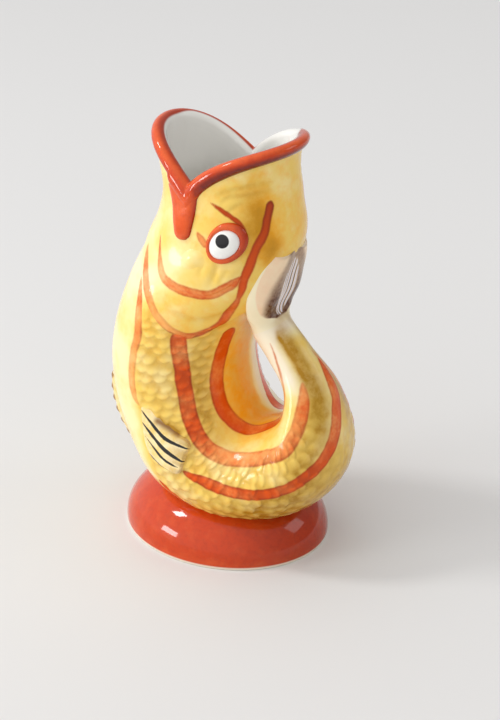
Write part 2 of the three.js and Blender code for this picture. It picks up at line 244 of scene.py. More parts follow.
# Painted strokes: stations and degrees along each one, full width in mm or widths along it, strength of the
# colour at its two ends, and the share of its length over which it narrows to a point at each end. A stroke
# is on both flanks, or with side on the right (1) or the left (-1) only.
strokes = {
    "flankStripe": {
        "station": [4.86, 5.73, 6.44, 7.17, 7.94, 8.70, 9.54, 10.40, 11.17, 11.68, 12.11, 12.42],
        "degrees": [66, 56.5, 54, 54.5, 52.5, 51, 52.5, 61.5, 81.5, 99.5, 113, 122],
        "width": [8.2, 8.2, 8.2, 7.4, 6.6], "strength": (0.95, 0.5), "point": (0.02, 0.14)},
    "backStripe": {
        "station": [5.05, 5.82, 6.54, 7.20, 8.12, 9.14, 9.9, 10.6, 11.2],
        "degrees": [23.5, 26, 29, 28.5, 23, 20, 18, 24, 36],
        "width": 8.0, "strength": (0.95, 0.85), "point": (0.02, 0.2)},
    "loopLine": {
        "station": [10.8, 11.4, 11.83, 12.29, 12.74, 13.11, 13.5],
        "degrees": [29, 42, 53, 65, 80, 89, 100],
        "width": 2.2, "strength": (0.6, 0.35), "point": (0.1, 0.8)},
    "bellyStripe": {
        "station": [8.2, 8.85, 9.48, 9.99, 10.50, 10.98, 11.28, 11.50, 11.68, 11.87, 12.06, 12.40, 12.74],
        "degrees": [81, 79, 86, 95.5, 107, 122.5, 142, 159.5, 170.5, 178.5, 186, 191, 200],
        "width": [6.4, 6.4, 6.4, 6.6, 7.4, 8.6, 8.6, 7.4, 6.4],
        "strength": (0.95, 1.0), "point": (0.08, 0.12), "side": 1},
    "farBellyStripe": {
        "station": [8.2, 8.85, 9.48, 9.99, 10.50, 10.98, 11.4, 11.9, 12.4, 12.9],
        "degrees": [81, 79, 86, 94, 102, 110, 118, 128, 146, 166],
        "width": 6.4, "strength": (0.95, 0.3), "point": (0.08, 0.35), "side": -1},
    "gillLine": {
        "station": [3.85, 4.36, 4.68, 4.86, 4.93, 4.80, 4.54, 4.29, 3.9, 3.5, 3.1],
        "degrees": [42, 40.5, 40.5, 47.5, 57, 70.5, 85, 97, 111, 124, 138],
        "width": 5.2, "strength": (0.75, 0.35), "point": (0.1, 0.2)},
    "cheekLine": {
        "station": [3.50, 3.66, 3.83, 3.80, 3.70, 3.56, 3.31, 2.80],
        "degrees": [47.5, 53, 63.5, 77.5, 92, 102, 110.5, 122.5],
        "width": 5.6, "strength": (0.8, 0.5), "point": (0.1, 0.2)},
    "browBranch": {
        "station": [1.72, 2.11, 2.51, 2.84, 3.15, 3.51, 3.85, 4.2],
        "degrees": [29, 32.5, 35.5, 40.5, 42.5, 43.5, 42, 41],
        "width": [4.2, 4.8, 5.6], "strength": (1.6, 0.9), "point": (0.04, 0.35), "side": 1},
    "farBrowBranch": {
        "station": [1.60, 2.00, 2.45, 2.84, 3.15, 3.51, 3.85, 4.2],
        "degrees": [25, 27, 31, 37, 41, 43.5, 42, 41],
        "width": [4.2, 4.8, 5.6], "strength": (0.5, 0.9), "point": (0.04, 0.35), "side": -1},
    "brow": {
        "station": [1.70, 1.89, 2.21, 2.60],
        "degrees": [79, 69, 54.5, 48],
        "width": 2.4, "strength": (1.2, 1.3), "point": (0.4, 0.4)},
    "cornerTick": {
        "station": [2.48, 2.62, 2.75],
        "degrees": [87.5, 83, 78.5],
        "width": 3.6, "strength": (0.7, 0.7), "point": (0.5, 0.1)},
    "bellyLine": {
        "station": [3.75, 4.87, 5.36, 5.71, 6.17, 6.43, 6.6],
        "degrees": [123.5, 100.5, 98.5, 98.5, 99, 98, 95],
        "width": [5.4, 4.4, 4], "strength": (0.5, 0.05), "point": (0.1, 0.3)},
    "bottomStreak": {
        "station": [8.03, 8.3, 8.65],
        "degrees": [114.5, 120, 125.5],
        "width": 5.0, "strength": (1.0, 0.8), "point": (0.4, 0.3)},
}


def lineSamples(line, perSpan=30):
    # points along a line given by stations and degrees, and the share of the way along it
    place = np.linspace(0, len(line["station"]) - 1, perSpan * (len(line["station"]) - 1) + 1)
    angle = np.radians(spline(line["degrees"], place))
    return fishSkin(spline(line["station"], place), angle), place / place[-1]


def lineDistance(points, line, half=0.0, perSpan=30):
    # mm to the nearest edge of a line of some half width, and the share of the way along it
    side = line.get("side", 0)
    across = side * points[..., 1] if side else -np.abs(points[..., 1])
    near = np.stack((points[..., 0], across, points[..., 2]), axis=-1)
    samples, shares = lineSamples(line, perSpan)
    halves = np.broadcast_to(half, shares.shape)
    distance = np.full(near.shape[:-1], 99.0)
    share = np.zeros(near.shape[:-1])
    for sample, width, along in zip(samples, halves, shares):
        reach = np.sqrt(((near - sample) ** 2).sum(axis=-1)) - width
        closer = reach < distance
        distance = np.where(closer, reach, distance)
        share = np.where(closer, along, share)
    return distance, share


def strokePaint(points, names):
    # mm to the edge of the nearest stroke, below 0 on the paint, and the strength of that stroke
    edge = np.full(points.shape[:-1], 99.0)
    strength = np.zeros(points.shape[:-1])
    for name in names:
        stroke = strokes[name]
        share = lineSamples(stroke)[1]
        first, last = stroke["point"]
        narrow = np.minimum(1, np.minimum(share / first, (1 - share) / last))
        widths = np.atleast_1d(stroke["width"])
        half = np.interp(share, np.linspace(0, 1, widths.size), widths) / 2 * np.sqrt(narrow + 0.02)
        distance, along = lineDistance(points, stroke, half)
        closer = distance < edge
        edge = np.where(closer, distance, edge)
        tone = stroke["strength"][0] + (stroke["strength"][1] - stroke["strength"][0]) * along
        strength = np.where(closer, tone, strength)
    return edge, strength


def linear(colour):
    # sRGB hex to linear light
    parts = [int(colour[k:k + 2], 16) / 255 for k in (1, 3, 5)]
    return (*[part / 12.92 if part <= 0.04045 else ((part + 0.055) / 1.055) ** 2.4 for part in parts], 1)


def feed(tree, node, values):
    # what goes into a node, by socket: a number, a vector, a hex colour or another node's output
    for socket, value in values.items():
        if isinstance(value, bpy.types.NodeSocket):
            tree.links.new(value, node.inputs[socket])
        else:
            node.inputs[socket].default_value = linear(value) if isinstance(value, str) else value


def addNode(tree, kind, values, result=0, **settings):
    # One shader node with its settings and what goes into it, by socket or as a row in the order of its
    # sockets: a range has its value, then from low, from high, to low and to high. It gives back an output.
    node = tree.nodes.new("ShaderNode" + kind)
    for name, setting in settings.items():
        setattr(node, name, setting)
    feed(tree, node, values if isinstance(values, dict) else dict(enumerate(values)))
    return node.outputs[result]


def gridNormals(rings):
    # normals of a grid of rings, each ring closed
    around = np.roll(rings, -1, axis=1) - np.roll(rings, 1, axis=1)
    along = np.gradient(rings, axis=0)
    return unit(np.cross(around, along))


def addObject(name, data):
    # an object in the scene that shows some data
    thing = bpy.data.objects.new(name, data)
    bpy.context.scene.collection.objects.link(thing)
    return thing


def addPiece(name, node, slot, rings, ends, fields, normals=None):
    # A closed mesh from rows of rings that run round counter-clockwise as seen from ahead of the rows.
    # Ends: "loop" joins the last ring to the first, "pole" closes each end ring to its middle.
    rows, columns = rings.shape[:2]
    points = rings.reshape(-1, 3)
    grid = np.arange(rows * columns).reshape(rows, columns)
    ahead = np.roll(grid, -1, axis=1)
    spans = rows if ends == "loop" else rows - 1
    upper = np.roll(grid, -1, axis=0)
    upperAhead = np.roll(upper, -1, axis=1)
    quads = np.stack((grid, ahead, upperAhead, upper), axis=-1)[:spans].reshape(-1, 4)
    faces = quads.tolist()
    values = {key: field.reshape(-1) for key, field in fields.items()}
    if ends == "pole":
        points = np.concatenate((points, rings[0].mean(axis=0)[None], rings[-1].mean(axis=0)[None]))
        first = np.full(columns, rows * columns)
        faces += np.stack((ahead[0], grid[0], first), axis=-1).tolist()
        faces += np.stack((grid[-1], ahead[-1], first + 1), axis=-1).tolist()
        for key, field in fields.items():
            values[key] = np.concatenate((values[key], [field[0].mean(), field[-1].mean()]))
    mesh = bpy.data.meshes.new(name)
    mesh.from_pydata((points * mm).tolist(), [], faces)
    mesh.shade_smooth()
    for key, field in values.items():
        mesh.attributes.new(key, "FLOAT", "POINT").data.foreach_set("value", field.astype(np.float32))
    if normals is not None:
        facing = normals.reshape(-1, 3)
        if ends == "pole":
            first = unit(normals[0].mean(axis=0))[None]
            last = unit(normals[-1].mean(axis=0))[None]
            facing = np.concatenate((facing, first, last))
        mesh.normals_split_custom_set_from_vertices(facing.tolist())
    mesh.materials.append(glazes[slot])
    piece = addObject(name, mesh)
    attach(piece, "root")
    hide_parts(node)


def addPair(name, node, slot, rings, ends, fields):
    # a piece on the right flank and its mirror image on the left, whose rings run the other way so that
    # they still face out
    addPiece("right" + name, "right_" + node, slot, rings, ends, fields)
    mirrored = {key: field[:, ::-1] for key, field in fields.items()}
    addPiece("left" + name, "left_" + node, slot, (rings * [1, -1, 1])[:, ::-1], ends, mirrored)


def glaze(name, look, fields, noises):
    # A glossy glaze. With it come the fields that it reads from the mesh, and its noises, each given as a
    # size in mm, a detail and a roughness.
    material = bpy.data.materials.new(name)
    material.use_nodes = True
    tree = material.node_tree
    shader = tree.nodes["Principled BSDF"]
    feed(tree, shader, {"Roughness": look["roughness"], "IOR": 1.52, "Specular IOR Level": 0.12,
                        "Coat Weight": look["coat"], "Coat Roughness": 0.03})
    read = {key: addNode(tree, "Attribute", {}, "Fac", attribute_name=key) for key in fields}
    for key, (size, detail, rough) in noises.items():
        place = addNode(tree, "TexCoord", {}, "Object")
        read[key] = addNode(tree, "TexNoise", {"Vector": place, "Scale": 1 / (size * mm),
                                               "Detail": detail, "Roughness": rough})
    return material, tree, shader, read


def makeYellowGlaze():
    # The fish itself: a honey-yellow wash over white clay, darker where the glaze has run into hollows, with
    # orange-red brush strokes under a clear gloss. Its amber and olive also hold painted shade behind the
    # eye, by the tail fin, on the gill cover, under the belly and down the tail's sides. Inside, the jug is
    # glazed white.
    look = {"yellow": "#f6d068", "pale": "#fceaac", "milk": "#fdf1d6", "amber": "#fbab1e", "deep": "#bd8208",
            "olive": "#b2811c", "stroke": "#e0540c", "thin": "#fb9c54", "dark": "#8f2f0c",
            "inside": "#eceae4", "roughness": 0.16, "coat": 0.24}
    # the orange peel of the glaze is six times as coarse as the real 0.9 mm, so that it shows
    noises = {"wash": (16.0, 3, 0.5), "cloud": (5.0, 4, 0.6), "bristle": (1.6, 2, 0.5), "peel": (5.4, 1, 0.5)}
    fields = ("stroke", "strength", "hollow", "amber", "olive", "inside")
    material, tree, shader, read = glaze("paintedYellowGlaze", look, fields, noises)

    washed = addNode(tree, "MapRange", (read["wash"], 0.34, 0.66, 0.55, -0.35))
    pale = addNode(tree, "Math", (washed, read["amber"]), operation="SUBTRACT", use_clamp=True)
    milk = addNode(tree, "MapRange", (read["amber"], -0.7, -1.5))
    clouded = addNode(tree, "MapRange", (read["cloud"], 0.35, 0.7, -0.2, 0.3))
    amber = addNode(tree, "Math", (clouded, read["amber"]), operation="ADD", use_clamp=True)
    deep = addNode(tree, "MapRange", (read["amber"], 0.7, 1.6))
    # pooled glaze in the hollows, plus the olive field, which holds painted shade
    pooled = addNode(tree, "Math", (read["hollow"], 0.36, read["olive"]), operation="MULTIPLY_ADD")
    olive = addNode(tree, "Math", (pooled, clouded, pooled), operation="MULTIPLY_ADD", use_clamp=True)
    ground = look["yellow"]
    for share, name in ((pale, "pale"), (milk, "milk"), (amber, "amber"), (deep, "deep"), (olive, "olive")):
        ground = addNode(tree, "Mix", {0: share, 6: ground, 7: look[name]}, 2, data_type="RGBA")

    ragged = addNode(tree, "MapRange", (read["cloud"], 0.3, 0.7, -0.25, 0.25))
    edge = addNode(tree, "Math", (read["stroke"], ragged), operation="ADD")
    painted = addNode(tree, "MapRange", (edge, 0.5, -0.6), interpolation_type="SMOOTHSTEP")
    brushed = addNode(tree, "MapRange", (read["bristle"], 0.3, 0.7, -0.1, 0.08))
    loaded = addNode(tree, "MapRange", (read["wash"], 0.35, 0.65, -0.45, 0.25))
    marked = addNode(tree, "Math", (brushed, loaded), operation="ADD")
    strength = addNode(tree, "Math", (read["strength"], marked), operation="ADD", use_clamp=True)
    heavy = addNode(tree, "MapRange", (read["strength"], 1.0, 1.8, 0.0, 0.9))
    rimmed = addNode(tree, "MapRange", (edge, -1.6, -0.4, 0.0, 0.4))
    pressed = addNode(tree, "Math", (rimmed, heavy), operation="ADD")
    soaked = addNode(tree, "Math", (read["hollow"], 0.38, pressed), operation="MULTIPLY_ADD", use_clamp=True)
    paint = look["thin"]
    for share, name in ((strength, "stroke"), (soaked, "dark")):
        paint = addNode(tree, "Mix", {0: share, 6: paint, 7: look[name]}, 2, data_type="RGBA")
    cover = addNode(tree, "MapRange", (strength, 0.0, 0.7, 0.62, 1.0))
    covered = addNode(tree, "Math", (painted, cover), operation="MULTIPLY")
    colour = ground
    for share, coat in ((covered, paint), (read["inside"], look["inside"])):
        colour = addNode(tree, "Mix", {0: share, 6: colour, 7: coat}, 2, data_type="RGBA")
    bump = addNode(tree, "Bump", {"Strength": 0.25, "Distance": 0.2 * mm, "Height": read["peel"]})
    feed(tree, shader, {"Base Color": colour, "Normal": bump})
    return material


def makeRedGlaze():
    # Lip, mouth corners, eyelids and foot: a thick iron-red glaze, coral where it has run thin over an edge,
    # nearly maroon where it is pooled and where shade is painted in: under the lip's roll behind the mouth
    # corners, on the eyelids' back and on the foot's far side. The lip turns white inside, the foot's
    # standing edge is bare clay.
    look = {"red": "#cd3f08", "coral": "#ee6a30", "maroon": "#701a0e", "inside": "#eceae4", "clay": "#f0e6d2",
            "roughness": 0.12, "clayRoughness": 0.7, "coat": 0.6}
    noises = {"cloud": (9.0, 4, 0.55), "speck": (2.2, 2, 0.5)}
    fields = ("thin", "poolAndShade", "inside", "bare")
    material, tree, shader, read = glaze("ironRedGlaze", look, fields, noises)
    drift = addNode(tree, "MapRange", (read["cloud"], 0.35, 0.65, -0.18, 0.2))
    thin = addNode(tree, "Math", (read["thin"], drift), operation="ADD", use_clamp=True)
    specks = addNode(tree, "MapRange", (read["speck"], 0.45, 0.75, 0.0, 0.14))
    poolAndShade = addNode(tree, "Math", (read["poolAndShade"], specks), operation="ADD", use_clamp=True)
    colour = look["red"]
    for share, name in ((thin, "coral"), (poolAndShade, "maroon"), (read["inside"], "inside"),
                        (read["bare"], "clay")):
        colour = addNode(tree, "Mix", {0: share, 6: colour, 7: look[name]}, 2, data_type="RGBA")
    dull = addNode(tree, "MapRange", (read["bare"], 0.0, 1.0, look["roughness"], look["clayRoughness"]))
    gloss = addNode(tree, "MapRange", (read["bare"], 0.0, 1.0, look["coat"], 0.0))
    bump = addNode(tree, "Bump", {"Strength": 0.2, "Distance": 0.2 * mm, "Height": read["cloud"]})
    feed(tree, shader, {"Base Color": colour, "Roughness": dull, "Coat Weight": gloss, "Normal": bump})
    return material


def makeTanGlaze():
    # The tail fin: a thin tan wash over white, brown where it is pooled in the valley, with fine dark and
    # pale rays drawn along the fin.
    look = {"tan": "#f9d8b4", "pale": "#fdf0cc", "olive": "#b2811c", "brown": "#5c2e12", "ray": "#3a2a2c",
            "light": "#ece4e8", "roughness": 0.16, "coat": 0.3}
    noises = {"cloud": (6.0, 4, 0.6), "speck": (1.8, 2, 0.5)}
    fields = ("brown", "ray", "pale", "olive")
    material, tree, shader, read = glaze("tanWashGlaze", look, fields, noises)
    drift = addNode(tree, "MapRange", (read["cloud"], 0.35, 0.65, -0.05, 0.3))
    pale = addNode(tree, "Math", (read["pale"], drift), operation="ADD", use_clamp=True)
    specks = addNode(tree, "MapRange", (read["speck"], 0.4, 0.75, -0.1, 0.12))
    brown = addNode(tree, "Math", (read["brown"], specks, read["brown"]), operation="MULTIPLY_ADD",
                    use_clamp=True)
    dark = addNode(tree, "MapRange", (read["ray"], 0.1, 0.4), interpolation_type="SMOOTHSTEP")
    light = addNode(tree, "MapRange", (read["ray"], -0.1, -0.5), interpolation_type="SMOOTHSTEP")
    colour = look["tan"]
    for share, name in ((pale, "pale"), (read["olive"], "olive"), (brown, "brown"), (dark, "ray"),
                        (light, "light")):
        colour = addNode(tree, "Mix", {0: share, 6: colour, 7: look[name]}, 2, data_type="RGBA")
    bump = addNode(tree, "Bump", {"Strength": 0.2, "Distance": 0.2 * mm, "Height": read["cloud"]})
    feed(tree, shader, {"Base Color": colour, "Normal": bump})
    return material


def makeCreamGlaze():
    # Pectoral and belly fins: cream glaze with black strokes along the rays and small brown dabs at the ends.
    # On the pectoral fins, the brown along the upper edge and at the raised end is partly painted shade.
    look = {"cream": "#f0cd78", "pale": "#f9e4b0", "black": "#22201f", "brown": "#8d5f2c",
            "roughness": 0.16, "coat": 0.5}
    noises = {"cloud": (5.0, 4, 0.6)}
    fields = ("ray", "dabAndShade")
    material, tree, shader, read = glaze("creamGlaze", look, fields, noises)
    pale = addNode(tree, "MapRange", (read["cloud"], 0.35, 0.65))
    dabAndShade = addNode(tree, "Math", (read["dabAndShade"], 0.85), operation="MULTIPLY", use_clamp=True)
    ragged = addNode(tree, "MapRange", (read["cloud"], 0.3, 0.7, -0.15, 0.15))
    edge = addNode(tree, "Math", (read["ray"], ragged), operation="ADD")
    inked = addNode(tree, "MapRange", (edge, 0.2, -0.2), interpolation_type="SMOOTHSTEP")
    colour = look["cream"]
    for share, name in ((pale, "pale"), (dabAndShade, "brown"), (inked, "black")):
        colour = addNode(tree, "Mix", {0: share, 6: colour, 7: look[name]}, 2, data_type="RGBA")
    bump = addNode(tree, "Bump", {"Strength": 0.2, "Distance": 0.2 * mm, "Height": read["cloud"]})
    feed(tree, shader, {"Base Color": colour, "Normal": bump})
    return material


def makeWhiteGlaze():
    # The eyes: clean white glaze with a round black pupil painted on it.
    look = {"white": "#f4f3ee", "pupil": "#1d1c1e", "roughness": 0.1, "coat": 0.6}
    material, tree, shader, read = glaze("eyeGlaze", look, ("pupil",), {})
    inked = addNode(tree, "MapRange", (read["pupil"], 0.18, -0.18), interpolation_type="SMOOTHSTEP")
    colour = addNode(tree, "Mix", {0: inked, 6: look["white"], 7: look["pupil"]}, 2, data_type="RGBA")
    feed(tree, shader, {"Base Color": colour})
    return material


glazes = {"yellow_glaze": makeYellowGlaze(), "red_glaze": makeRedGlaze(), "tan_glaze": makeTanGlaze(),
          "cream_glaze": makeCreamGlaze(), "white_glaze": makeWhiteGlaze()}
print("materials made")

# Scales: rows of low shells pressed into the mould, about as long as wide on the flank, each with its free
# edge down. Along, across and height are in mm, jitter and reach in shares of a scale. In shares of the
# height: ground between the scales, level of the smooth skin, and a shell's middle, its gain towards the free
# edge and its loss to the sides. Scales lie between the back and front degrees at each station.
scales = {
    "along": 5.2,
    "across": 7.6,
    "height": 1.55,
    "jitter": 0.42,
    "reach": (1.3, 0.74),
    "ground": 0.3,
    "level": 0.78,
    "middle": 0.55,
    "gain": 0.35,
    "loss": 0.4,
    "backStation": [4.5, 7.2, 8, 9, 10.5, 11.2, 12],
    "backDegrees": [26, 28, 40, 48, 54, 72, 95],
    "frontStation": [4.5, 5, 6.3, 7, 7.6, 8.1, 8.6, 9.2, 9.8, 13],
    "frontDegrees": [104, 101.5, 97, 100, 108, 118, 127, 150, 181, 185],
}


def scaleRelief(station, angle):
    # Height of the scales and how hollow the skin is between them. Two lengths in mm give a lattice: one down
    # the flank's middle line, one round the section from that line; every second row is set half a scale
    # over. Each scale is a disc that rises towards its free edge and lies over the next row, like a roof
    # tile. The usual sine hash gives each scale its own chance.
    fine = np.linspace(0, 18, 1801)
    down = np.interp(station, fine, np.cumsum(pace(fine, math.pi / 2)) * fine[1])
    turns = np.radians(np.arange(181))
    run = np.cumsum(sweep(np.linspace(0, 18, 181)[:, None], turns), axis=1) * turns[1]
    run = run - run[:, 90:91]
    degrees = np.degrees(flank(angle))
    row = np.clip(station * 10, 0, 179.999)
    column = np.clip(degrees, 0, 179.999)
    r, c = row.astype(int), column.astype(int)
    u, v = row - r, column - c
    across = ((run[r, c] * (1 - u) + run[r + 1, c] * u) * (1 - v)
              + (run[r, c + 1] * (1 - u) + run[r + 1, c + 1] * u) * v)
    p = down / scales["along"]
    q = across / scales["across"]
    line = np.floor(p)
    length, width = scales["reach"]
    shell = np.full(station.shape, scales["ground"])
    for k in (-1, 0, 1, 2):
        level = line - k
        shift = 0.5 * np.mod(level, 2)
        cell = np.floor(q - shift)
        for m in (-1, 0, 1):
            spot = cell + m
            chance = np.modf(np.abs(np.sin(level * 12.9898 + spot * 78.233) * 43758.5453))[0] - 0.5
            below = p - level - 0.5 + scales["jitter"] * chance
            beside = q - shift - spot - 0.5 + scales["jitter"] * chance
            cover = smooth(1 - np.hypot(below / length, beside / width), 0.0, 0.3)
            rise = scales["middle"] + scales["gain"] * below - scales["loss"] * beside ** 2
            shell = shell + (rise - shell) * cover
    front = np.interp(station, scales["frontStation"], scales["frontDegrees"])
    back = np.interp(station, scales["backStation"], scales["backDegrees"])
    rear = smooth(station, 9.6, 10.6) * smooth(degrees, 125, 150)
    fade = smooth(degrees - back, 0, 12) * smooth(front - degrees, 0, 8) * (1 - smooth(station, 11.3, 12.3))
    fade = fade * (1 - 0.6 * rear)
    trim = 0.28 * rear * (1 - smooth(station, 11.8, 13))
    height = scales["height"] * fade * (shell - scales["level"]) - trim
    return height, fade * (1 - smooth(shell, 0.6, 0.82))


# Zones of the wash and of the olive tint, by stations and by degrees from the back, or by turn where the
# right flank (above 0) and the left (below 0) differ. Four limits are where a zone starts, is full, fades and
# ends, two are the middle and the breadth of a soft spot. Some zones hold painted shade, as marked below.
fromStart = (-999, -998)
toEnd = (998, 999)
washAndShadeZones = {
    "loop": {"amount": 0.75, "station": (4.6, 6, 11, 12.2), "turn": (-14, -2, 14, 42)},
    "farLoop": {"amount": -1.2, "station": (4.6, 6, 11, 12.2), "turn": (-70, -50, -16, -4)},
    "tail": {"amount": -0.95, "station": (11.7, 12.6, *toEnd)},
    "tailOutside": {"amount": 0.665, "station": (11.7, 12.6, *toEnd), "degrees": (112, 130, *toEnd)},
    "tailInside": {"amount": -0.7, "station": (11.9, 12.6, *toEnd), "degrees": (*fromStart, 96, 116)},
    "wrist": {"amount": -1.3, "station": (13.2, 13.9, *toEnd)},
    # behind the eye: the head's own darker tint, and painted shade where the head turns away from the lamps
    "behindEyeTintAndShade": {"amount": 1.05, "station": (2.2, 0.9), "degrees": (39, 12)},
    "nape": {"amount": 0.2, "station": (1.2, 2.2, 4.6, 5.4), "degrees": (*fromStart, 20, 48)},
    # painted shade in the hollow where the tail fin meets the head
    "shadeBesideFin": {"amount": 0.7, "station": (3.0, 0.4), "degrees": (28, 9)},
    # painted shade: the gill cover is darker towards its lower edge
    "gillPlateShade": {"amount": 0.2, "station": (3.7, 4.6, 4.8, 5.2)},
    "cheek": {"amount": -0.25, "station": (2.9, 3.3, 3.6, 3.9)},
    "face": {"amount": -0.4, "station": (1.4, 2.2, 3.7, 4.4), "degrees": (86, 108, *toEnd)},
}
oliveAndShadeZones = {
    "beforeLoop": {"amount": 0.3, "station": (5, 5.8, 8.5, 10), "degrees": (43, 9)},
    # painted shade under the belly, where less light reaches
    "undersideShade": {"amount": 0.5, "station": (8.8, 9.6, 10.8, 11.6), "degrees": (92, 112, *toEnd)},
    # the same spot behind the eye: darker tint and painted shade
    "behindEyeTintAndShade": {"amount": 0.65, "station": (2.25, 0.85), "degrees": (43, 11)},
    # more painted shade in the hollow above the tail fin
    "shadeAboveFin": {"amount": 0.5, "station": (3.0, 0.35), "degrees": (27, 8)},
}
# A streak of painted shade down each side of the tail, where its face turns away from the lamps.
tailShadeStreak = {
    "station": [11.8, 12.6, 13.2, 13.6, 14, 14.4],
    "degrees": [126, 129, 126, 130, 146, 158],
    "shift": 14,
    "breadth": 24,
    "core": 6,
}


def zoneSum(zones, station, angle):
    # the amounts of all zones at a point, each times its share there
    turn = np.degrees(turned(angle))
    place = {"station": station, "degrees": np.abs(turn), "turn": turn}
    total = 0
    for zone in zones.values():
        share = zone["amount"]
        for key, limits in zone.items():
            if key != "amount":
                form = bell if len(limits) == 2 else window
                share = share * form(place[key], *limits)
        total = total + share
    return total


def fishWashAndShade(station, angle):
    # where the yellow wash is thick (towards 1) or thin (below 0), some zones being painted shade: the zones,
    # and thin on the belly's front
    front = np.interp(station, scales["frontStation"], scales["frontDegrees"])
    belly = smooth(np.degrees(flank(angle)) - front, -4, 8) * window(station, 3.2, 4.2, 8.6, 9.4)
    return zoneSum(washAndShadeZones, station, angle) - 0.75 * belly


def oliveTintAndShade(station, angle):
    # the zones, and a streak of painted shade with a darker core along each side of the tail
    aside = np.degrees(flank(angle)) - np.interp(station, tailShadeStreak["station"], tailShadeStreak["degrees"])
    broad = bell(aside, tailShadeStreak["shift"], tailShadeStreak["breadth"]) * smooth(station, 11.0, 12.2)
    broad = broad * (1 - 0.5 * smooth(station, 13.3, 14))
    core = bell(aside, 0, tailShadeStreak["core"]) * window(station, 12.2, 12.7, 13.4, 14)
    return zoneSum(oliveAndShadeZones, station, angle) + 0.9 * broad + 0.5 * core


def scaledSkin(station, angle):
    # The skin with its scales, its normals and how hollow it is. Two rows more at each end let the normals
    # run on over a seam, and are then left out.
    relief, hollow = scaleRelief(station, angle)
    points = raised(station, angle, relief)
    normals = gridNormals(points)
    return [rows[2:-2] for rows in (points, normals, hollow, station, angle)]


def shellFields(points, station, angle, hollow, names, wallRows):
    # the outer rows' paint, then the inner rows' white
    edge, strength = strokePaint(points, names)
    fields = {"stroke": edge, "strength": strength, "hollow": hollow,
              "amber": fishWashAndShade(station, angle), "olive": oliveTintAndShade(station, angle),
              "inside": np.zeros(station.shape)}
    blank = {"stroke": 9.0, "strength": 0.0, "hollow": 0.0, "amber": 0.0, "olive": 0.0, "inside": 1.0}
    return {key: np.concatenate((field, np.full((wallRows, station.shape[1]), blank[key])))
            for key, field in fields.items()}


# One brown stroke along the upper edge of each pectoral fin, half on the fin and half on the skin beside it:
# brown paint, and painted shade under the fin's raised edge.
finEdgeStrokeAndShade = {"station": [6.95, 7.14, 7.37], "degrees": [80.5, 73.5, 67]}


def makeBody():
    # Skin from under the gill cover round the bottom of the loop to the tail's seam, then the inner wall
    # back up.
    shape = {"columns": 300, "rows": 264, "wallRows": 16, "tuck": 1.6, "end": 11.75, "dabWidth": 1.7}
    angle = ringAngles(shape["columns"])
    seam = seamStation(angle)
    top = seam - shape["tuck"] / pace(seam, angle)
    station = top + (shape["end"] - top) * rowShares(shape["rows"], 2, 2)
    angles = np.broadcast_to(angle, station.shape)
    points, normals, hollow, station, angles = scaledSkin(station, angles)
    back = np.linspace(1, 0, shape["wallRows"])[:, None]
    inner = fishSkin(top + (shape["end"] - top) * back, angle, -fish["wall"])
    names = ["flankStripe", "backStripe", "bellyStripe", "farBellyStripe", "loopLine", "gillLine",
             "bellyLine", "bottomStreak"]
    fields = shellFields(points, station, angles, hollow, names, shape["wallRows"])
    # the brown stroke by each pectoral fin, partly painted shade, also darkens the skin beside it
    fields["olive"][:shape["rows"]] += bell(lineDistance(points, finEdgeStrokeAndShade)[0], 0, shape["dabWidth"])
    addPiece("bodyShell", "body", "yellow_glaze", np.concatenate((points, inner)), "loop",
             fields, np.concatenate((normals, gridNormals(inner))))


makeBody()
print("body made")

# Soft grooves on the head: wrinkles under the lip, folds below the eye, and one arc on the gill cover.
# Stations and degrees along each, its half breadth and height in mm.
headFolds = {
    "wrinkleOne": {
        "station": [1.50, 1.41, 1.29, 1.24], "degrees": [71.5, 65, 45, 24], "breadth": 1.3, "height": -0.6},
    "wrinkleTwo": {
        "station": [1.70, 1.55, 1.51, 1.43], "degrees": [69, 62.5, 45.5, 24.5],
        "breadth": 1.3, "height": -0.6},
    "wrinkleThree": {
        "station": [1.93, 1.80, 1.67], "degrees": [64, 59, 50], "breadth": 1.4, "height": -0.5},
    "foldOne": {
        "station": [3.16, 3.30, 3.46], "degrees": [76.5, 76, 75], "breadth": 1.3, "height": -0.5},
    "foldTwo": {
        "station": [3.17, 3.38, 3.63], "degrees": [66.5, 65.5, 65.5], "breadth": 1.5, "height": -0.8},
    "foldThree": {
        "station": [3.29, 3.45, 3.60], "degrees": [57.5, 59, 60], "breadth": 1.3, "height": -0.4},
    "plateArc": {
        "station": [4.07, 4.37, 4.51, 4.38, 3.94], "degrees": [95, 74.5, 57.5, 44, 43],
        "breadth": 1.8, "height": -0.45},
}
# The cheek stands up along its painted line: mm for one station, height and half breadth of the step in mm,
# mm above the line over which it fades, and the degrees between which it lies.
cheekStep = {"pace": 19, "height": 0.9, "half": 0.9, "fade": (4, 14), "degrees": (44, 56, 112, 128)}


def headRelief(points, station, angle):
    # the folds above, and the cheek raised by a step along its painted line
    height = np.zeros(station.shape)
    for fold in headFolds.values():
        distance, along = lineDistance(points, fold, perSpan=14)
        taper = np.sin(math.pi * np.clip(along, 0.04, 0.96)) ** 0.5
        height += fold["height"] * taper * bell(distance, 0, fold["breadth"])
    degrees = np.degrees(flank(angle))
    cheek = strokes["cheekLine"]
    place = np.linspace(0, len(cheek["station"]) - 1, 80)
    edge = np.interp(degrees, spline(cheek["degrees"], place), spline(cheek["station"], place))
    above = (edge - station) * cheekStep["pace"]
    stepped = window(above, -cheekStep["half"], cheekStep["half"], *cheekStep["fade"])
    return height + cheekStep["height"] * window(degrees, *cheekStep["degrees"]) * stepped


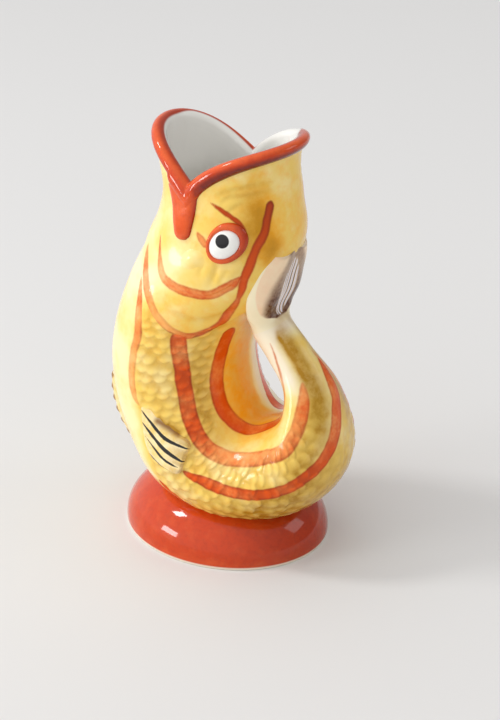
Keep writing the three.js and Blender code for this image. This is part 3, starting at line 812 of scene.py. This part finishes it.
def makeHead():
    # Skin from under the lip to the gill cover's rounded edge, then the inner wall back up.
    shape = {"columns": 320, "rows": 168, "curlRows": 6, "wallRows": 14, "tuck": 2.5, "curlDepth": 0.5}
    angle = ringAngles(shape["columns"])
    seam = seamStation(angle)
    seamPace = pace(seam, angle)
    lip = lipStation(angle)
    top = lip - shape["tuck"] / pace(lip, angle)
    bottom = seam - gill["edge"] / seamPace
    station = top + (bottom - top) * rowShares(shape["rows"], 2)
    degrees = np.degrees(flank(angle))
    proud = gill["step"] * (0.35 + 0.65 * smooth(degrees, 14, 40)) * (1 - 0.5 * smooth(degrees, 125, 165))
    lift = proud * smooth(station, seam - gill["bevel"], bottom)
    curl = np.linspace(0, math.pi / 2, shape["curlRows"] + 1)[1:, None]
    station = np.concatenate((station, bottom + gill["edge"] / seamPace * np.sin(curl)))
    lift = np.concatenate((lift, proud - (proud + shape["curlDepth"]) * (1 - np.cos(curl))))
    angles = np.broadcast_to(angle, station.shape)
    fold = headRelief(fishSkin(station, angles), station, angles)
    points = raised(station, angles, lift + fold)
    normals = gridNormals(points)
    points, normals, fold, station, angles = (rows[2:] for rows in (points, normals, fold, station, angles))
    innerShare = np.linspace(1, 0, shape["wallRows"])[:, None]
    inner = fishSkin(top + (seam - top) * innerShare, angle, -fish["wall"])
    names = ["gillLine", "cheekLine", "browBranch", "farBrowBranch", "brow", "cornerTick", "bellyLine"]
    fields = shellFields(points, station, angles, np.clip(-fold, 0, 1), names, shape["wallRows"])
    addPiece("headShell", "head", "yellow_glaze", np.concatenate((points, inner)), "loop",
             fields, np.concatenate((normals, gridNormals(inner))))


makeHead()
print("head made")


def makeTail():
    # The blind chamber inside, from its closed upper end down to the seam, then the skin up to the wrist.
    shape = {"columns": 300, "start": 11.75, "rows": 70, "end": 14.0, "wallRows": 14, "wall": 3.4,
             "chamber": 13.4}
    angle = ringAngles(shape["columns"])
    station = shape["start"] + (shape["end"] - shape["start"]) * rowShares(shape["rows"], 2, 2)
    points, normals, hollow, station, angles = scaledSkin(*np.broadcast_arrays(station, angle))
    innerStation = np.linspace(shape["chamber"], shape["start"], shape["wallRows"])[:, None]
    inner = fishSkin(innerStation, angle, -shape["wall"])
    names = ["flankStripe", "backStripe", "bellyStripe", "farBellyStripe", "loopLine"]
    fields = shellFields(points, station, angles, hollow, names, shape["wallRows"])
    fields = {key: np.roll(field, shape["wallRows"], axis=0) for key, field in fields.items()}
    addPiece("tailHandle", "tail", "yellow_glaze", np.concatenate((inner, points)), "pole",
             fields, np.concatenate((gridNormals(inner), normals)))


makeTail()
print("tail made")


def makeTailFin():
    # A tube that opens into two rounded lobes: it wraps round the back of the head, a valley runs down its
    # outer face and its end sinks into the head. Brown is pooled beside the valley, and fine rays run over
    # an oval patch in it. The wash starts at a station by degrees, the brown at a degree by stations.
    shape = {"columns": 400, "rows": 100, "start": 14.0, "end": 18.0, "wrap": 34.0, "valley": 3.2,
             "valleyWidth": 0.35, "valleyFade": 0.3, "lobe": 1.6, "lobePlace": 0.72, "lobeWidth": 0.25,
             "push": 1.5, "rayHeight": 0.2, "rayPeriod": 8.0, "patchDegrees": 22, "patchMiddle": 16.0,
             "patchHalf": 1.6,
             "washDegrees": [0, 90, 105, 119.5, 130, 138, 146, 160, 180],
             "washStation": [19, 18, 17, 15.9, 15.04, 14.74, 14.6, 14.3, 14.3],
             "brownStation": [14, 14.6, 15.2, 16, 16.6, 17.2, 18],
             "brownDegrees": [154, 145, 140, 142, 145, 150, 158]}
    angle = ringAngles(shape["columns"])
    station = shape["start"] + (shape["end"] - shape["start"]) * rowShares(shape["rows"], 2)
    station, angles = np.broadcast_arrays(station, angle)
    opening = smooth(station, 14, 15)
    ending = smooth(station, 16.5, 18)
    across = np.abs(np.sin(angles))
    valley = shape["valley"] * (1 - shape["valleyFade"] * ending) * bell(across, 0, shape["valleyWidth"])
    lobe = shape["lobe"] * bell(across, shape["lobePlace"], shape["lobeWidth"])
    outer = smooth(-np.cos(angles), -0.1, 0.1)
    side = np.degrees(flank(angles))
    fromPatch = np.hypot((180 - side) / shape["patchDegrees"],
                         (station - shape["patchMiddle"]) / shape["patchHalf"])
    patch = 1 - smooth(fromPatch, 0.72, 1.05)
    wave = np.cos((np.degrees(angles) - 180) / shape["rayPeriod"] * 2 * math.pi)
    points = fishSkin(station, angles, outer * opening * (lobe - valley) + shape["rayHeight"] * wave * patch)
    points[..., 0] -= opening * points[..., 1] ** 2 / (2 * shape["wrap"])
    points[..., 0] += shape["push"] * ending
    beyond = station - np.interp(side, shape["washDegrees"], shape["washStation"])
    inward = side - np.interp(station, shape["brownStation"], shape["brownDegrees"])
    faded = 1 - 0.35 * smooth(station, 15.6, 17.2)
    fields = {"brown": smooth(inward, -13, 3) * smooth(beyond, 0, 0.2) * faded * (1 - patch),
              "ray": (-wave - 0.45) * patch,
              "pale": 1 - smooth(beyond, -0.12, 0.25),
              # olive at the fin's root carries on the tail's streak of painted shade
              "olive": 1.05 * oliveTintAndShade(station, angles) * (1 - smooth(station, 14.2, 14.7))}
    fields = {key: field[2:] for key, field in fields.items()}
    addPiece("tailFin", "tail_fin", "tan_glaze", points[2:], "pole", fields,
             gridNormals(points)[2:])


makeTailFin()
print("tail fin made")

# The tongue of each mouth corner: a pad that hangs from the lip, its middle line as stations and degrees.
tongue = {
    "station": [1.4, 1.8, 2.2, 2.48],
    "degrees": [104, 103.5, 102.5, 100.5],
    "top": 8.8,
    "end": 4.9,
    "height": 2.8,
    "roll": 4.0,
    "blend": 4.0,
}


def tongueHeight(points):
    # a pad that rises over a quarter circle from its outline, which narrows from top to end
    place = np.linspace(0, 1, 20 * (len(tongue["station"]) - 1) + 1)
    half = tongue["top"] + (tongue["end"] - tongue["top"]) * place
    distance = lineDistance(points, tongue, half, 20)[0]
    rise = np.clip(-distance / tongue["roll"], 0, 1)
    return tongue["height"] * np.sqrt(1 - (1 - rise) ** 2) - np.maximum(distance, 0)


def lipFace(station, angle):
    # Height of the lip's outer face: a round roll from its lower edge to the rim. Below the middle of the
    # roll the tongue joins it, with a fillet where the two are equally high.
    rim = rimStation(angle)
    band = lipStation(angle) - rim
    share = (station - rim) / band
    roll = lipMiddle + lipThick * np.sqrt(np.maximum(1 - (2 * share - 1) ** 2, 0))
    roll = np.where(share > 1, lipMiddle - mouth["band"] * (share - 1), roll)
    pad = tongueHeight(fishSkin(station, angle))
    lean = np.clip(0.5 + 0.5 * (roll - pad) / tongue["blend"], 0, 1)
    joined = roll * lean + pad * (1 - lean) + tongue["blend"] * lean * (1 - lean)
    return roll + smooth(share, 0, 0.9) * (joined - roll)


def makeLip():
    # A round roll carried along the rim: up its outer face, over the crest and down inside to the wall. Turn
    # is degrees round the roll. The white inside starts at one of them, and on the left flank it runs up to
    # the crest, most of all behind the corner.
    shape = {"columns": 360, "rollRows": 40, "wallRows": 4, "rollEnd": 270, "wallTurn": 280.0, "faceEnd": 150,
             "white": 233, "whiteLeft": 25, "whiteBehind": 45}
    angle = ringAngles(shape["columns"])
    rim = rimStation(angle)
    band = lipStation(angle) - rim
    turn = np.linspace(0, shape["rollEnd"], shape["rollRows"])[:, None]
    share = 0.5 + 0.5 * np.cos(np.radians(turn))
    height = lipMiddle + lipThick * np.sin(np.radians(turn))
    share = np.concatenate((share, np.linspace(0.5, 1, shape["wallRows"] + 1)[1:, None]))
    height = np.concatenate((height, np.full((shape["wallRows"], 1), -fish["wall"])))
    turn = np.concatenate((turn, np.full((shape["wallRows"], 1), shape["wallTurn"])))
    station = rim + band * share
    angles = np.broadcast_to(angle, station.shape)
    face = np.where(turn < shape["faceEnd"], lipFace(station, angles), height)
    rings = fishSkin(station, angles, face)[::-1]
    turn = np.broadcast_to(turn, station.shape)[::-1]
    pad = np.maximum(face - height, 0)[::-1]
    signed = np.degrees(turned(angle))
    left = window(-signed, 22, 50, 150, 175)
    leftBehind = left * (1 - smooth(-signed, 78, 100))
    white = shape["white"] - shape["whiteLeft"] * left - shape["whiteBehind"] * leftBehind
    # the roll's lower face is darker behind the mouth corners: pooled glaze, and painted shade where it faces
    # down and away from the lamps
    behind = 1 - smooth(np.abs(signed), 78, 100)
    shadedLowFace = (1 - smooth(turn, 72, 122)) * (1 - smooth(pad, 0.2, 1))
    fields = {"thin": 0.55 * bell(turn, 155, 30) + 0.3 * smooth(pad, 0.5, 2),
              "poolAndShade": (0.25 + 0.65 * behind) * shadedLowFace + 0.45 * smooth(turn, 170, 215),
              "inside": smooth(turn - white, -8, 8), "bare": np.zeros(turn.shape)}
    addPiece("rolledLip", "lip", "red_glaze", rings, "loop", fields, gridNormals(rings))


makeLip()
print("lip made")


def makeTongues():
    # A patch over the tongue that runs on under the lip: rings from its middle out to a rounded oblong, then
    # back below the skin.
    shape = {"columns": 120, "rows": 26, "sink": 0.6, "thick": 0.6, "first": 1.37, "last": 2.8, "margin": 2.5,
             "under": 0.03, "underLip": 0.4}
    turn = fullTurn(shape["columns"])
    squash = roundedSquare(turn, 4)
    reach = np.linspace(0.02, 1, shape["rows"])[:, None]
    down = 0.5 - 0.5 * reach * squash * np.cos(turn)
    station = shape["first"] + (shape["last"] - shape["first"]) * down
    centre = np.radians(np.interp(station, tongue["station"], tongue["degrees"]))
    half = np.interp(station, [tongue["station"][0], tongue["station"][-1]], [tongue["top"], tongue["end"]])
    angle = centre + (half + shape["margin"]) * reach * squash * np.sin(turn) / sweep(station, centre)
    height = np.maximum(lipFace(station, angle), -shape["sink"])
    hidden = smooth(lipStation(angle) - station, 0.03, 0.14) * smooth(1 - reach, 0, 0.4)
    top = fishSkin(station, angle, height - (shape["under"] + shape["underLip"] * hidden))
    under = fishSkin(station, angle, -shape["sink"] - shape["thick"])[::-1]
    rings = np.concatenate((top, under))
    zero = np.zeros(rings.shape[:2])
    fields = {"thin": padField(0.5 * smooth(height, 0.5, 2.4)),
              "poolAndShade": padField(0.7 * (1 - smooth(height, -0.2, 1.4))), "inside": zero, "bare": zero}
    addPair("MouthCorner", "mouth_corner", "red_glaze", rings, "pole", fields)


makeTongues()


def diskPlace(centre, reach, turn):
    # stations and angles of points on the skin, some mm from a centre in some direction
    station, angle = centre[0], math.radians(centre[1])
    along, across = pace(station, angle), sweep(station, angle)
    return station - reach * np.cos(turn) / along, angle + reach * np.sin(turn) / across


def makeEyes():
    # A dome on the head, its pupil a little above and before the middle, and a ring round it that is thicker
    # behind and above. The ring's glaze is thin on its crest; behind the eye the ring is darker, painted
    # shade on the side turned away from the lamps.
    eye = {"centre": (2.70, 64.75), "radius": 7.3, "bulge": 2.97, "edge": 0.2, "pupil": (2.61, 66.2),
           "pupilRadius": 3.25, "columns": 64, "rows": 16, "sink": 0.8}
    lid = {"centre": (2.665, 62.9), "outer": 9.9, "inner": 6.5, "height": 1.9, "arcRows": 12, "sink": 0.5}
    turn = fullTurn(eye["columns"])
    reach = np.linspace(0.03, 1, eye["rows"])[:, None] * eye["radius"]
    station, angle = diskPlace(eye["centre"], reach, turn)
    height = eye["bulge"] * np.sqrt(np.maximum(1 - (reach / eye["radius"]) ** 2, 0)) + eye["edge"]
    rings = padRings(station, angle, height, eye["sink"])
    spotStation, spotAngle = eye["pupil"][0], math.radians(eye["pupil"][1])
    outward = skinNormal(spotStation, spotAngle)
    gap = rings[:eye["rows"]] - fishSkin(spotStation, spotAngle)
    gap = gap - (gap @ outward)[..., None] * outward
    fields = {"pupil": padField(np.linalg.norm(gap, axis=-1) - eye["pupilRadius"], 9.0)}
    addPair("Eye", "eye", "white_glaze", rings, "pole", fields)

    arc = np.linspace(0, math.pi, lid["arcRows"])[:, None]
    innerStation, innerAngle = diskPlace(eye["centre"], lid["inner"], turn)
    outerStation, outerAngle = diskPlace(lid["centre"], lid["outer"], turn)
    mix = 0.5 - 0.5 * np.cos(arc)
    station = innerStation + (outerStation - innerStation) * mix
    angle = innerAngle + (outerAngle - innerAngle) * mix
    rings = raised(station, angle, -lid["sink"] + (lid["height"] + lid["sink"]) * np.sin(arc) ** 0.8)
    zero = np.zeros(station.shape)
    crest = np.sin(arc) + zero
    # painted shade: the ring's back side is darker and loses its thin crest
    behind = smooth(math.radians(lid["centre"][1]) - angle, -0.05, 0.25)
    fields = {"thin": 0.65 * crest * (1 - behind), "poolAndShade": 0.5 * (1 - smooth(crest, 0, 0.5)) + 0.4 * behind,
              "inside": zero, "bare": zero}
    addPair("Eyelid", "eyelid", "red_glaze", rings, "loop", fields)


makeEyes()


def makeCheeks():
    # A soft round boss, the wash pooled in a short arc below it.
    boss = {"centre": (3.14, 86.0), "radius": 8.0, "height": 1.2, "edge": 0.1, "drop": 0.3, "arcAt": 0.72,
            "arcWidth": 0.12, "columns": 56, "rows": 18, "sink": 0.7}
    turn = fullTurn(boss["columns"])
    share = np.linspace(0.02, 1, boss["rows"])[:, None]
    station, angle = diskPlace(boss["centre"], share * boss["radius"], turn)
    edge = boss["edge"] + boss["drop"] * smooth(share, 0.9, 1)
    rings = padRings(station, angle, boss["height"] * (1 - smooth(share, 0.1, 0.95)) - edge, boss["sink"])
    arc = 0.55 * bell(share, boss["arcAt"], boss["arcWidth"]) * smooth(-np.cos(turn), 0.2, 0.9)
    zero = np.zeros(rings.shape[:2])
    fields = {"stroke": zero + 9, "strength": zero, "hollow": padField(arc),
              "amber": padField(fishWashAndShade(station, angle) - 0.25 * (1 - share)), "olive": zero, "inside": zero}
    addPair("Cheek", "cheek", "yellow_glaze", rings, "pole", fields)


makeCheeks()
print("face made")

# Black strokes drawn along the rays of a pectoral fin and down its end, as stations and degrees, with full
# widths in mm.
finRays = [
    {"station": [6.63, 6.93, 7.30, 7.60, 7.84], "degrees": [95.5, 87.5, 79.5, 70, 63.5], "width": 2.0},
    {"station": [6.90, 7.16, 7.52, 7.80, 8.05], "degrees": [98, 91, 83, 77, 73], "width": 2.2},
    {"station": [7.21, 7.48, 7.71, 7.90, 8.08], "degrees": [98.5, 92, 87.5, 83, 79.5], "width": 1.5},
    {"station": [7.47, 7.68, 7.90, 8.07, 8.17], "degrees": [104, 98.5, 94, 89.5, 85.5], "width": 1.8},
    {"station": [7.91, 8.09, 8.22], "degrees": [66, 73, 80.5], "width": 1.1},
]


def makePectoralFins():
    # A patch between four corners on the flank that rises from its root to its end, grooved along the rays.
    # Its outline is a rounded square, right round its edge, drawn in to the middle.
    shape = {"root": [(6.42, 92.0), (7.52, 105.5)], "tip": [(7.7, 59.0), (8.23, 84.5)], "columns": 160,
             "rows": 30, "rootHeight": 0.5, "tipHeight": 2.4, "groove": 0.5, "grooveWidth": 1.2, "rise": 0.6,
             "sink": 0.9, "grown": 1.06, "dabWidth": 1.8}
    turn = fullTurn(shape["columns"])
    reach = np.linspace(0.02, 1.0, shape["rows"])[:, None]
    out = 0.5 * reach * shape["grown"] * roundedSquare(turn, 6)
    down = 0.5 - out * np.cos(turn)
    wide = 0.5 + out * np.sin(turn)
    root = np.array(shape["root"])
    tip = np.array(shape["tip"])
    upper = root[0] + (tip[0] - root[0]) * down[..., None]
    lower = root[1] + (tip[1] - root[1]) * down[..., None]
    place = upper + (lower - upper) * (1 - wide)[..., None]
    station = place[..., 0]
    angle = np.radians(place[..., 1])
    base = fishSkin(station, angle)
    edge = np.full(station.shape, 99.0)
    centre = np.full(station.shape, 99.0)
    for ray in finRays:
        share = lineSamples(ray)[1]
        half = ray["width"] / 2 * np.sin(math.pi * np.clip(share, 0.02, 0.98)) ** 0.7
        edge = np.minimum(edge, lineDistance(base, ray, half)[0])
        centre = np.minimum(centre, lineDistance(base, ray)[0])
    lift = shape["rootHeight"] + (shape["tipHeight"] - shape["rootHeight"]) * smooth(down, 0.0, 0.9)
    rim = smooth((1 - reach) / (0.36 - 0.27 * smooth(down, 0.55, 0.95)), 0, 1)
    height = -shape["rise"] + (lift + shape["rise"]) * np.sqrt(rim)
    height = height - shape["groove"] * bell(centre, 0, shape["grooveWidth"]) * rim
    dabLine = bell(lineDistance(base, finEdgeStrokeAndShade)[0], 0, shape["dabWidth"])
    # brown along the upper edge and at the raised end: paint, and painted shade
    dabAndShade = np.maximum(1.1 * dabLine, 0.45 * smooth(down, 0.55, 1) * smooth(centre, 0.4, 1.6))
    fields = {"ray": padField(edge, 9.0), "dabAndShade": padField(dabAndShade)}
    addPair("PectoralFin", "pectoral_fin", "cream_glaze",
            padRings(station, angle, height, shape["sink"]), "pole", fields)


def makeBellyFins():
    # A low ridge down the belly beside its front, notched into rays, with a brown dab on each.
    shape = {"start": 6.15, "end": 7.3, "degrees": 145, "width": 8.0, "height": 3.0, "crest": 2.6,
             "notch": 0.28, "drop": 0.2, "rays": 6, "columns": 96, "rows": 14, "sink": 0.8}
    turn = fullTurn(shape["columns"])
    reach = np.linspace(0.03, 1, shape["rows"])[:, None]
    length = shape["end"] - shape["start"]
    station = (shape["start"] + shape["end"]) / 2 - length / 2 * reach * np.cos(turn)
    centre = np.full(station.shape, math.radians(shape["degrees"]))
    aside = shape["width"] / 2 * reach * np.sin(turn)
    angle = centre + aside / sweep(station, centre)
    notch = 0.5 + 0.5 * np.cos(2 * math.pi * (station - shape["start"]) / length * shape["rays"])
    crest = bell(aside, 0, shape["crest"])
    height = shape["height"] * np.sqrt(np.maximum(1 - reach ** 2, 0)) * (0.45 + 0.55 * crest)
    height = height * (1 - shape["notch"] * notch * crest) - shape["drop"]
    dabAndShade = 1.1 * smooth(1 - notch, 0.25, 0.6) * smooth(crest, 0.35, 0.75)
    fields = {"ray": padField(np.full(dabAndShade.shape, 9.0), 9.0), "dabAndShade": padField(dabAndShade)}
    addPair("BellyFin", "belly_fin", "cream_glaze",
            padRings(station, angle, height, shape["sink"]), "pole", fields)


makePectoralFins()
makeBellyFins()
print("fins made")


def bellyUnderside(x, y):
    # height of the fish's lower skin above a point of the floor plan, from a grid of the skin
    cellsX, cellsY = 70, 50
    station = np.linspace(6.5, 11.6, 120)[:, None]
    angle = np.radians(np.linspace(40, 180, 90))
    plan = fishSkin(station, angle).reshape(-1, 3)
    floorX = np.linspace(plan[:, 0].min(), plan[:, 0].max(), cellsX)
    floorY = np.linspace(0, -plan[:, 1].min(), cellsY)
    lowest = np.full((cellsX + 1, cellsY + 1), 999.0)
    cells = np.searchsorted(floorX, plan[:, 0]), np.searchsorted(floorY, -plan[:, 1])
    np.minimum.at(lowest, cells, plan[:, 2])
    return lowest[np.searchsorted(floorX, x), np.searchsorted(floorY, np.abs(y))]


def makeFoot():
    # An oval dome with a soft lower edge, a standing ring and a recess below. Its top runs on inside the fish
    # to a small depth. The profile runs from the middle of the recess out over the standing ring and up the
    # dome, each row as a share of the outline, an inset in mm and a height.
    shape = {"length": 109.3, "width": 93.9, "height": 26.0, "edge": 2.0, "waist": 0.5, "columns": 200,
             "domeRows": 44, "domeEnd": 86, "edgeRows": 6, "filletRows": 5, "floor": 8.4, "fillet": 3.0,
             "floorInset": 10.0, "ringInset": 6.5, "ringFoot": 6.1, "chamfer": 0.6, "depth": 2.5,
             "bareHeight": 1.3, "bareFade": 0.3}
    turn = fullTurn(shape["columns"])
    bend = np.linspace(0, math.pi / 2, shape["filletRows"])
    rim = np.linspace(0, math.pi / 2, shape["edgeRows"])
    dome = np.radians(np.linspace(0, shape["domeEnd"], shape["domeRows"]))[1:]
    recess = [(share, shape["floorInset"], shape["floor"]) for share in (0.05, 0.5, 0.8)]
    fillet = np.stack((np.ones(bend.size), shape["ringInset"] + shape["fillet"] * (1 - np.sin(bend)),
                       shape["floor"] - shape["fillet"] * (1 - np.cos(bend))), axis=-1)
    ring = [(1.0, shape["ringInset"], shape["chamfer"]), (1.0, shape["ringFoot"], 0.0)]
    edge = np.stack((np.ones(rim.size), shape["edge"] / 2 * (1 - np.sin(rim)),
                     shape["edge"] * (1 - np.cos(rim))), axis=-1)
    upper = np.stack((shape["waist"] + (1 - shape["waist"]) * np.cos(dome), np.zeros(dome.size),
                      shape["edge"] + (shape["height"] - shape["edge"]) * np.sin(dome)), axis=-1)
    below = np.concatenate((recess, fillet, ring))
    share, inset, z = np.concatenate((below, edge, upper)).T[..., None]
    x = (shape["length"] / 2 - inset) * share * np.cos(turn) + footMiddle
    y = (shape["width"] / 2 - inset) * share * np.sin(turn)
    row = np.arange(len(z))[:, None]
    limit = np.where(row >= len(z) - len(upper), bellyUnderside(x, y) + shape["depth"], shape["height"])
    z = np.minimum(z, limit)
    zero = np.zeros(x.shape)
    standing = 1 - smooth(z, shape["bareHeight"], shape["bareHeight"] + shape["bareFade"])
    # the foot's far side, turned away from the lamps, is painted darker as shade, over a little pooled glaze
    # all round
    fields = {"thin": 0.25 * (1 - smooth(z, 2, 7)),
              "poolAndShade": zero + 0.1 + 0.3 * smooth(np.cos(turn - 0.3), 0.1, 0.9),
              "inside": zero, "bare": np.where(row < len(below), 1.0, standing)}
    addPiece("domedFoot", "foot", "red_glaze", np.stack((x, y, z), axis=-1), "pole", fields)


makeFoot()
print("foot made")


def makeStage(towards):
    # a wide pale table in a white room that is brightest on the side of its window
    stage = {"floor": "#e2e1e0", "half": 12.0, "windowSide": 1.19, "farSide": 0.26}
    mesh = bpy.data.meshes.new("studioFloor")
    corner = stage["half"]
    corners = [(-corner, -corner, 0), (corner, -corner, 0), (corner, corner, 0), (-corner, corner, 0)]
    mesh.from_pydata(corners, [], [(0, 1, 2, 3)])
    # matt paper: pale, without gloss
    paper = bpy.data.materials.new("studioPaper")
    paper.use_nodes = True
    shader = paper.node_tree.nodes["Principled BSDF"]
    feed(paper.node_tree, shader, {"Base Color": stage["floor"], "Roughness": 0.9, "Specular IOR Level": 0.1})
    mesh.materials.append(paper)
    floor = addObject("studioFloor", mesh)
    world = bpy.data.worlds.new("studio")
    world.use_nodes = True
    tree = world.node_tree
    outward = addNode(tree, "TexCoord", {}, "Generated")
    facing = addNode(tree, "VectorMath", (outward, towards), "Value", operation="DOT_PRODUCT")
    bright = addNode(tree, "MapRange", (facing, -1.0, 1.0, stage["farSide"], stage["windowSide"]))
    feed(tree, tree.nodes["Background"], {"Color": (1, 1, 1, 1), "Strength": bright})
    bpy.context.scene.world = world


def addSoftbox(name, place, target, sizes, power):
    # a rectangular lamp at a place, turned to a target, in metres and watts
    lamp = bpy.data.lights.new(name, "AREA")
    lamp.shape = "RECTANGLE"
    lamp.size, lamp.size_y = sizes
    lamp.energy = power
    towards = (target - place).to_track_quat("-Z", "Y").to_matrix().to_4x4()
    addObject(name, lamp).matrix_world = Matrix.Translation(place) @ towards


def addCamera():
    # 32 degrees round from the fish's right side, 26.7 degrees up, 0.9 m away, the jug set a little low
    # and left
    view = {"azimuth": 32.0, "elevation": 26.7, "distance": 0.9, "lens": 57.15, "sensor": 24.0,
            "right": 0.01207, "up": 0.08331}
    azimuth = math.radians(view["azimuth"])
    elevation = math.radians(view["elevation"])
    back = Vector((math.sin(azimuth) * math.cos(elevation), -math.cos(azimuth) * math.cos(elevation),
                   math.sin(elevation)))
    right = Vector((math.cos(azimuth), math.sin(azimuth), 0))
    up = back.cross(right)
    target = right * view["right"] + up * view["up"] + Vector((footMiddle * mm, 0, 0))
    camera = bpy.data.cameras.new("photoCamera")
    camera.lens = view["lens"]
    camera.sensor_width = view["sensor"]
    holder = addObject("photoCamera", camera)
    axes = Matrix((right, up, back)).transposed().to_4x4()
    holder.matrix_world = Matrix.Translation(target + back * view["distance"]) @ axes
    bpy.context.scene.camera = holder
    return right, back


# Lamps round the jug's middle: metres to the right, towards the camera and up, sides in metres, power in
# watts. The high one gives the shadow, the low one glints on the left, and the card lifts the right side.
# The room's window lies in a direction given in the same way.
windowSide = (-0.95, 0.22, 0.2)
lamps = {
    "highSoftbox": {"place": (-1.45, -0.1, 1.65), "sides": (0.34, 0.38), "power": 11.2},
    "lowSoftbox": {"place": (-1.25, 0.4, 0.24), "sides": (0.4, 0.24), "power": 4.3},
    "fillCard": {"place": (1.2, 0.1, 0.7), "sides": (0.6, 0.5), "power": 1.6},
}
right, back = addCamera()
middle = Vector((0, 0, 0.1))
ahead = Vector((back.x, back.y, 0)).normalized()
seen = Matrix((right, ahead, (0, 0, 1))).transposed()
makeStage((seen @ Vector(windowSide)).normalized())
for name, lamp in lamps.items():
    addSoftbox(name, middle + seen @ Vector(lamp["place"]), middle, lamp["sides"], lamp["power"])
bpy.context.scene.view_settings.view_transform = "Standard"
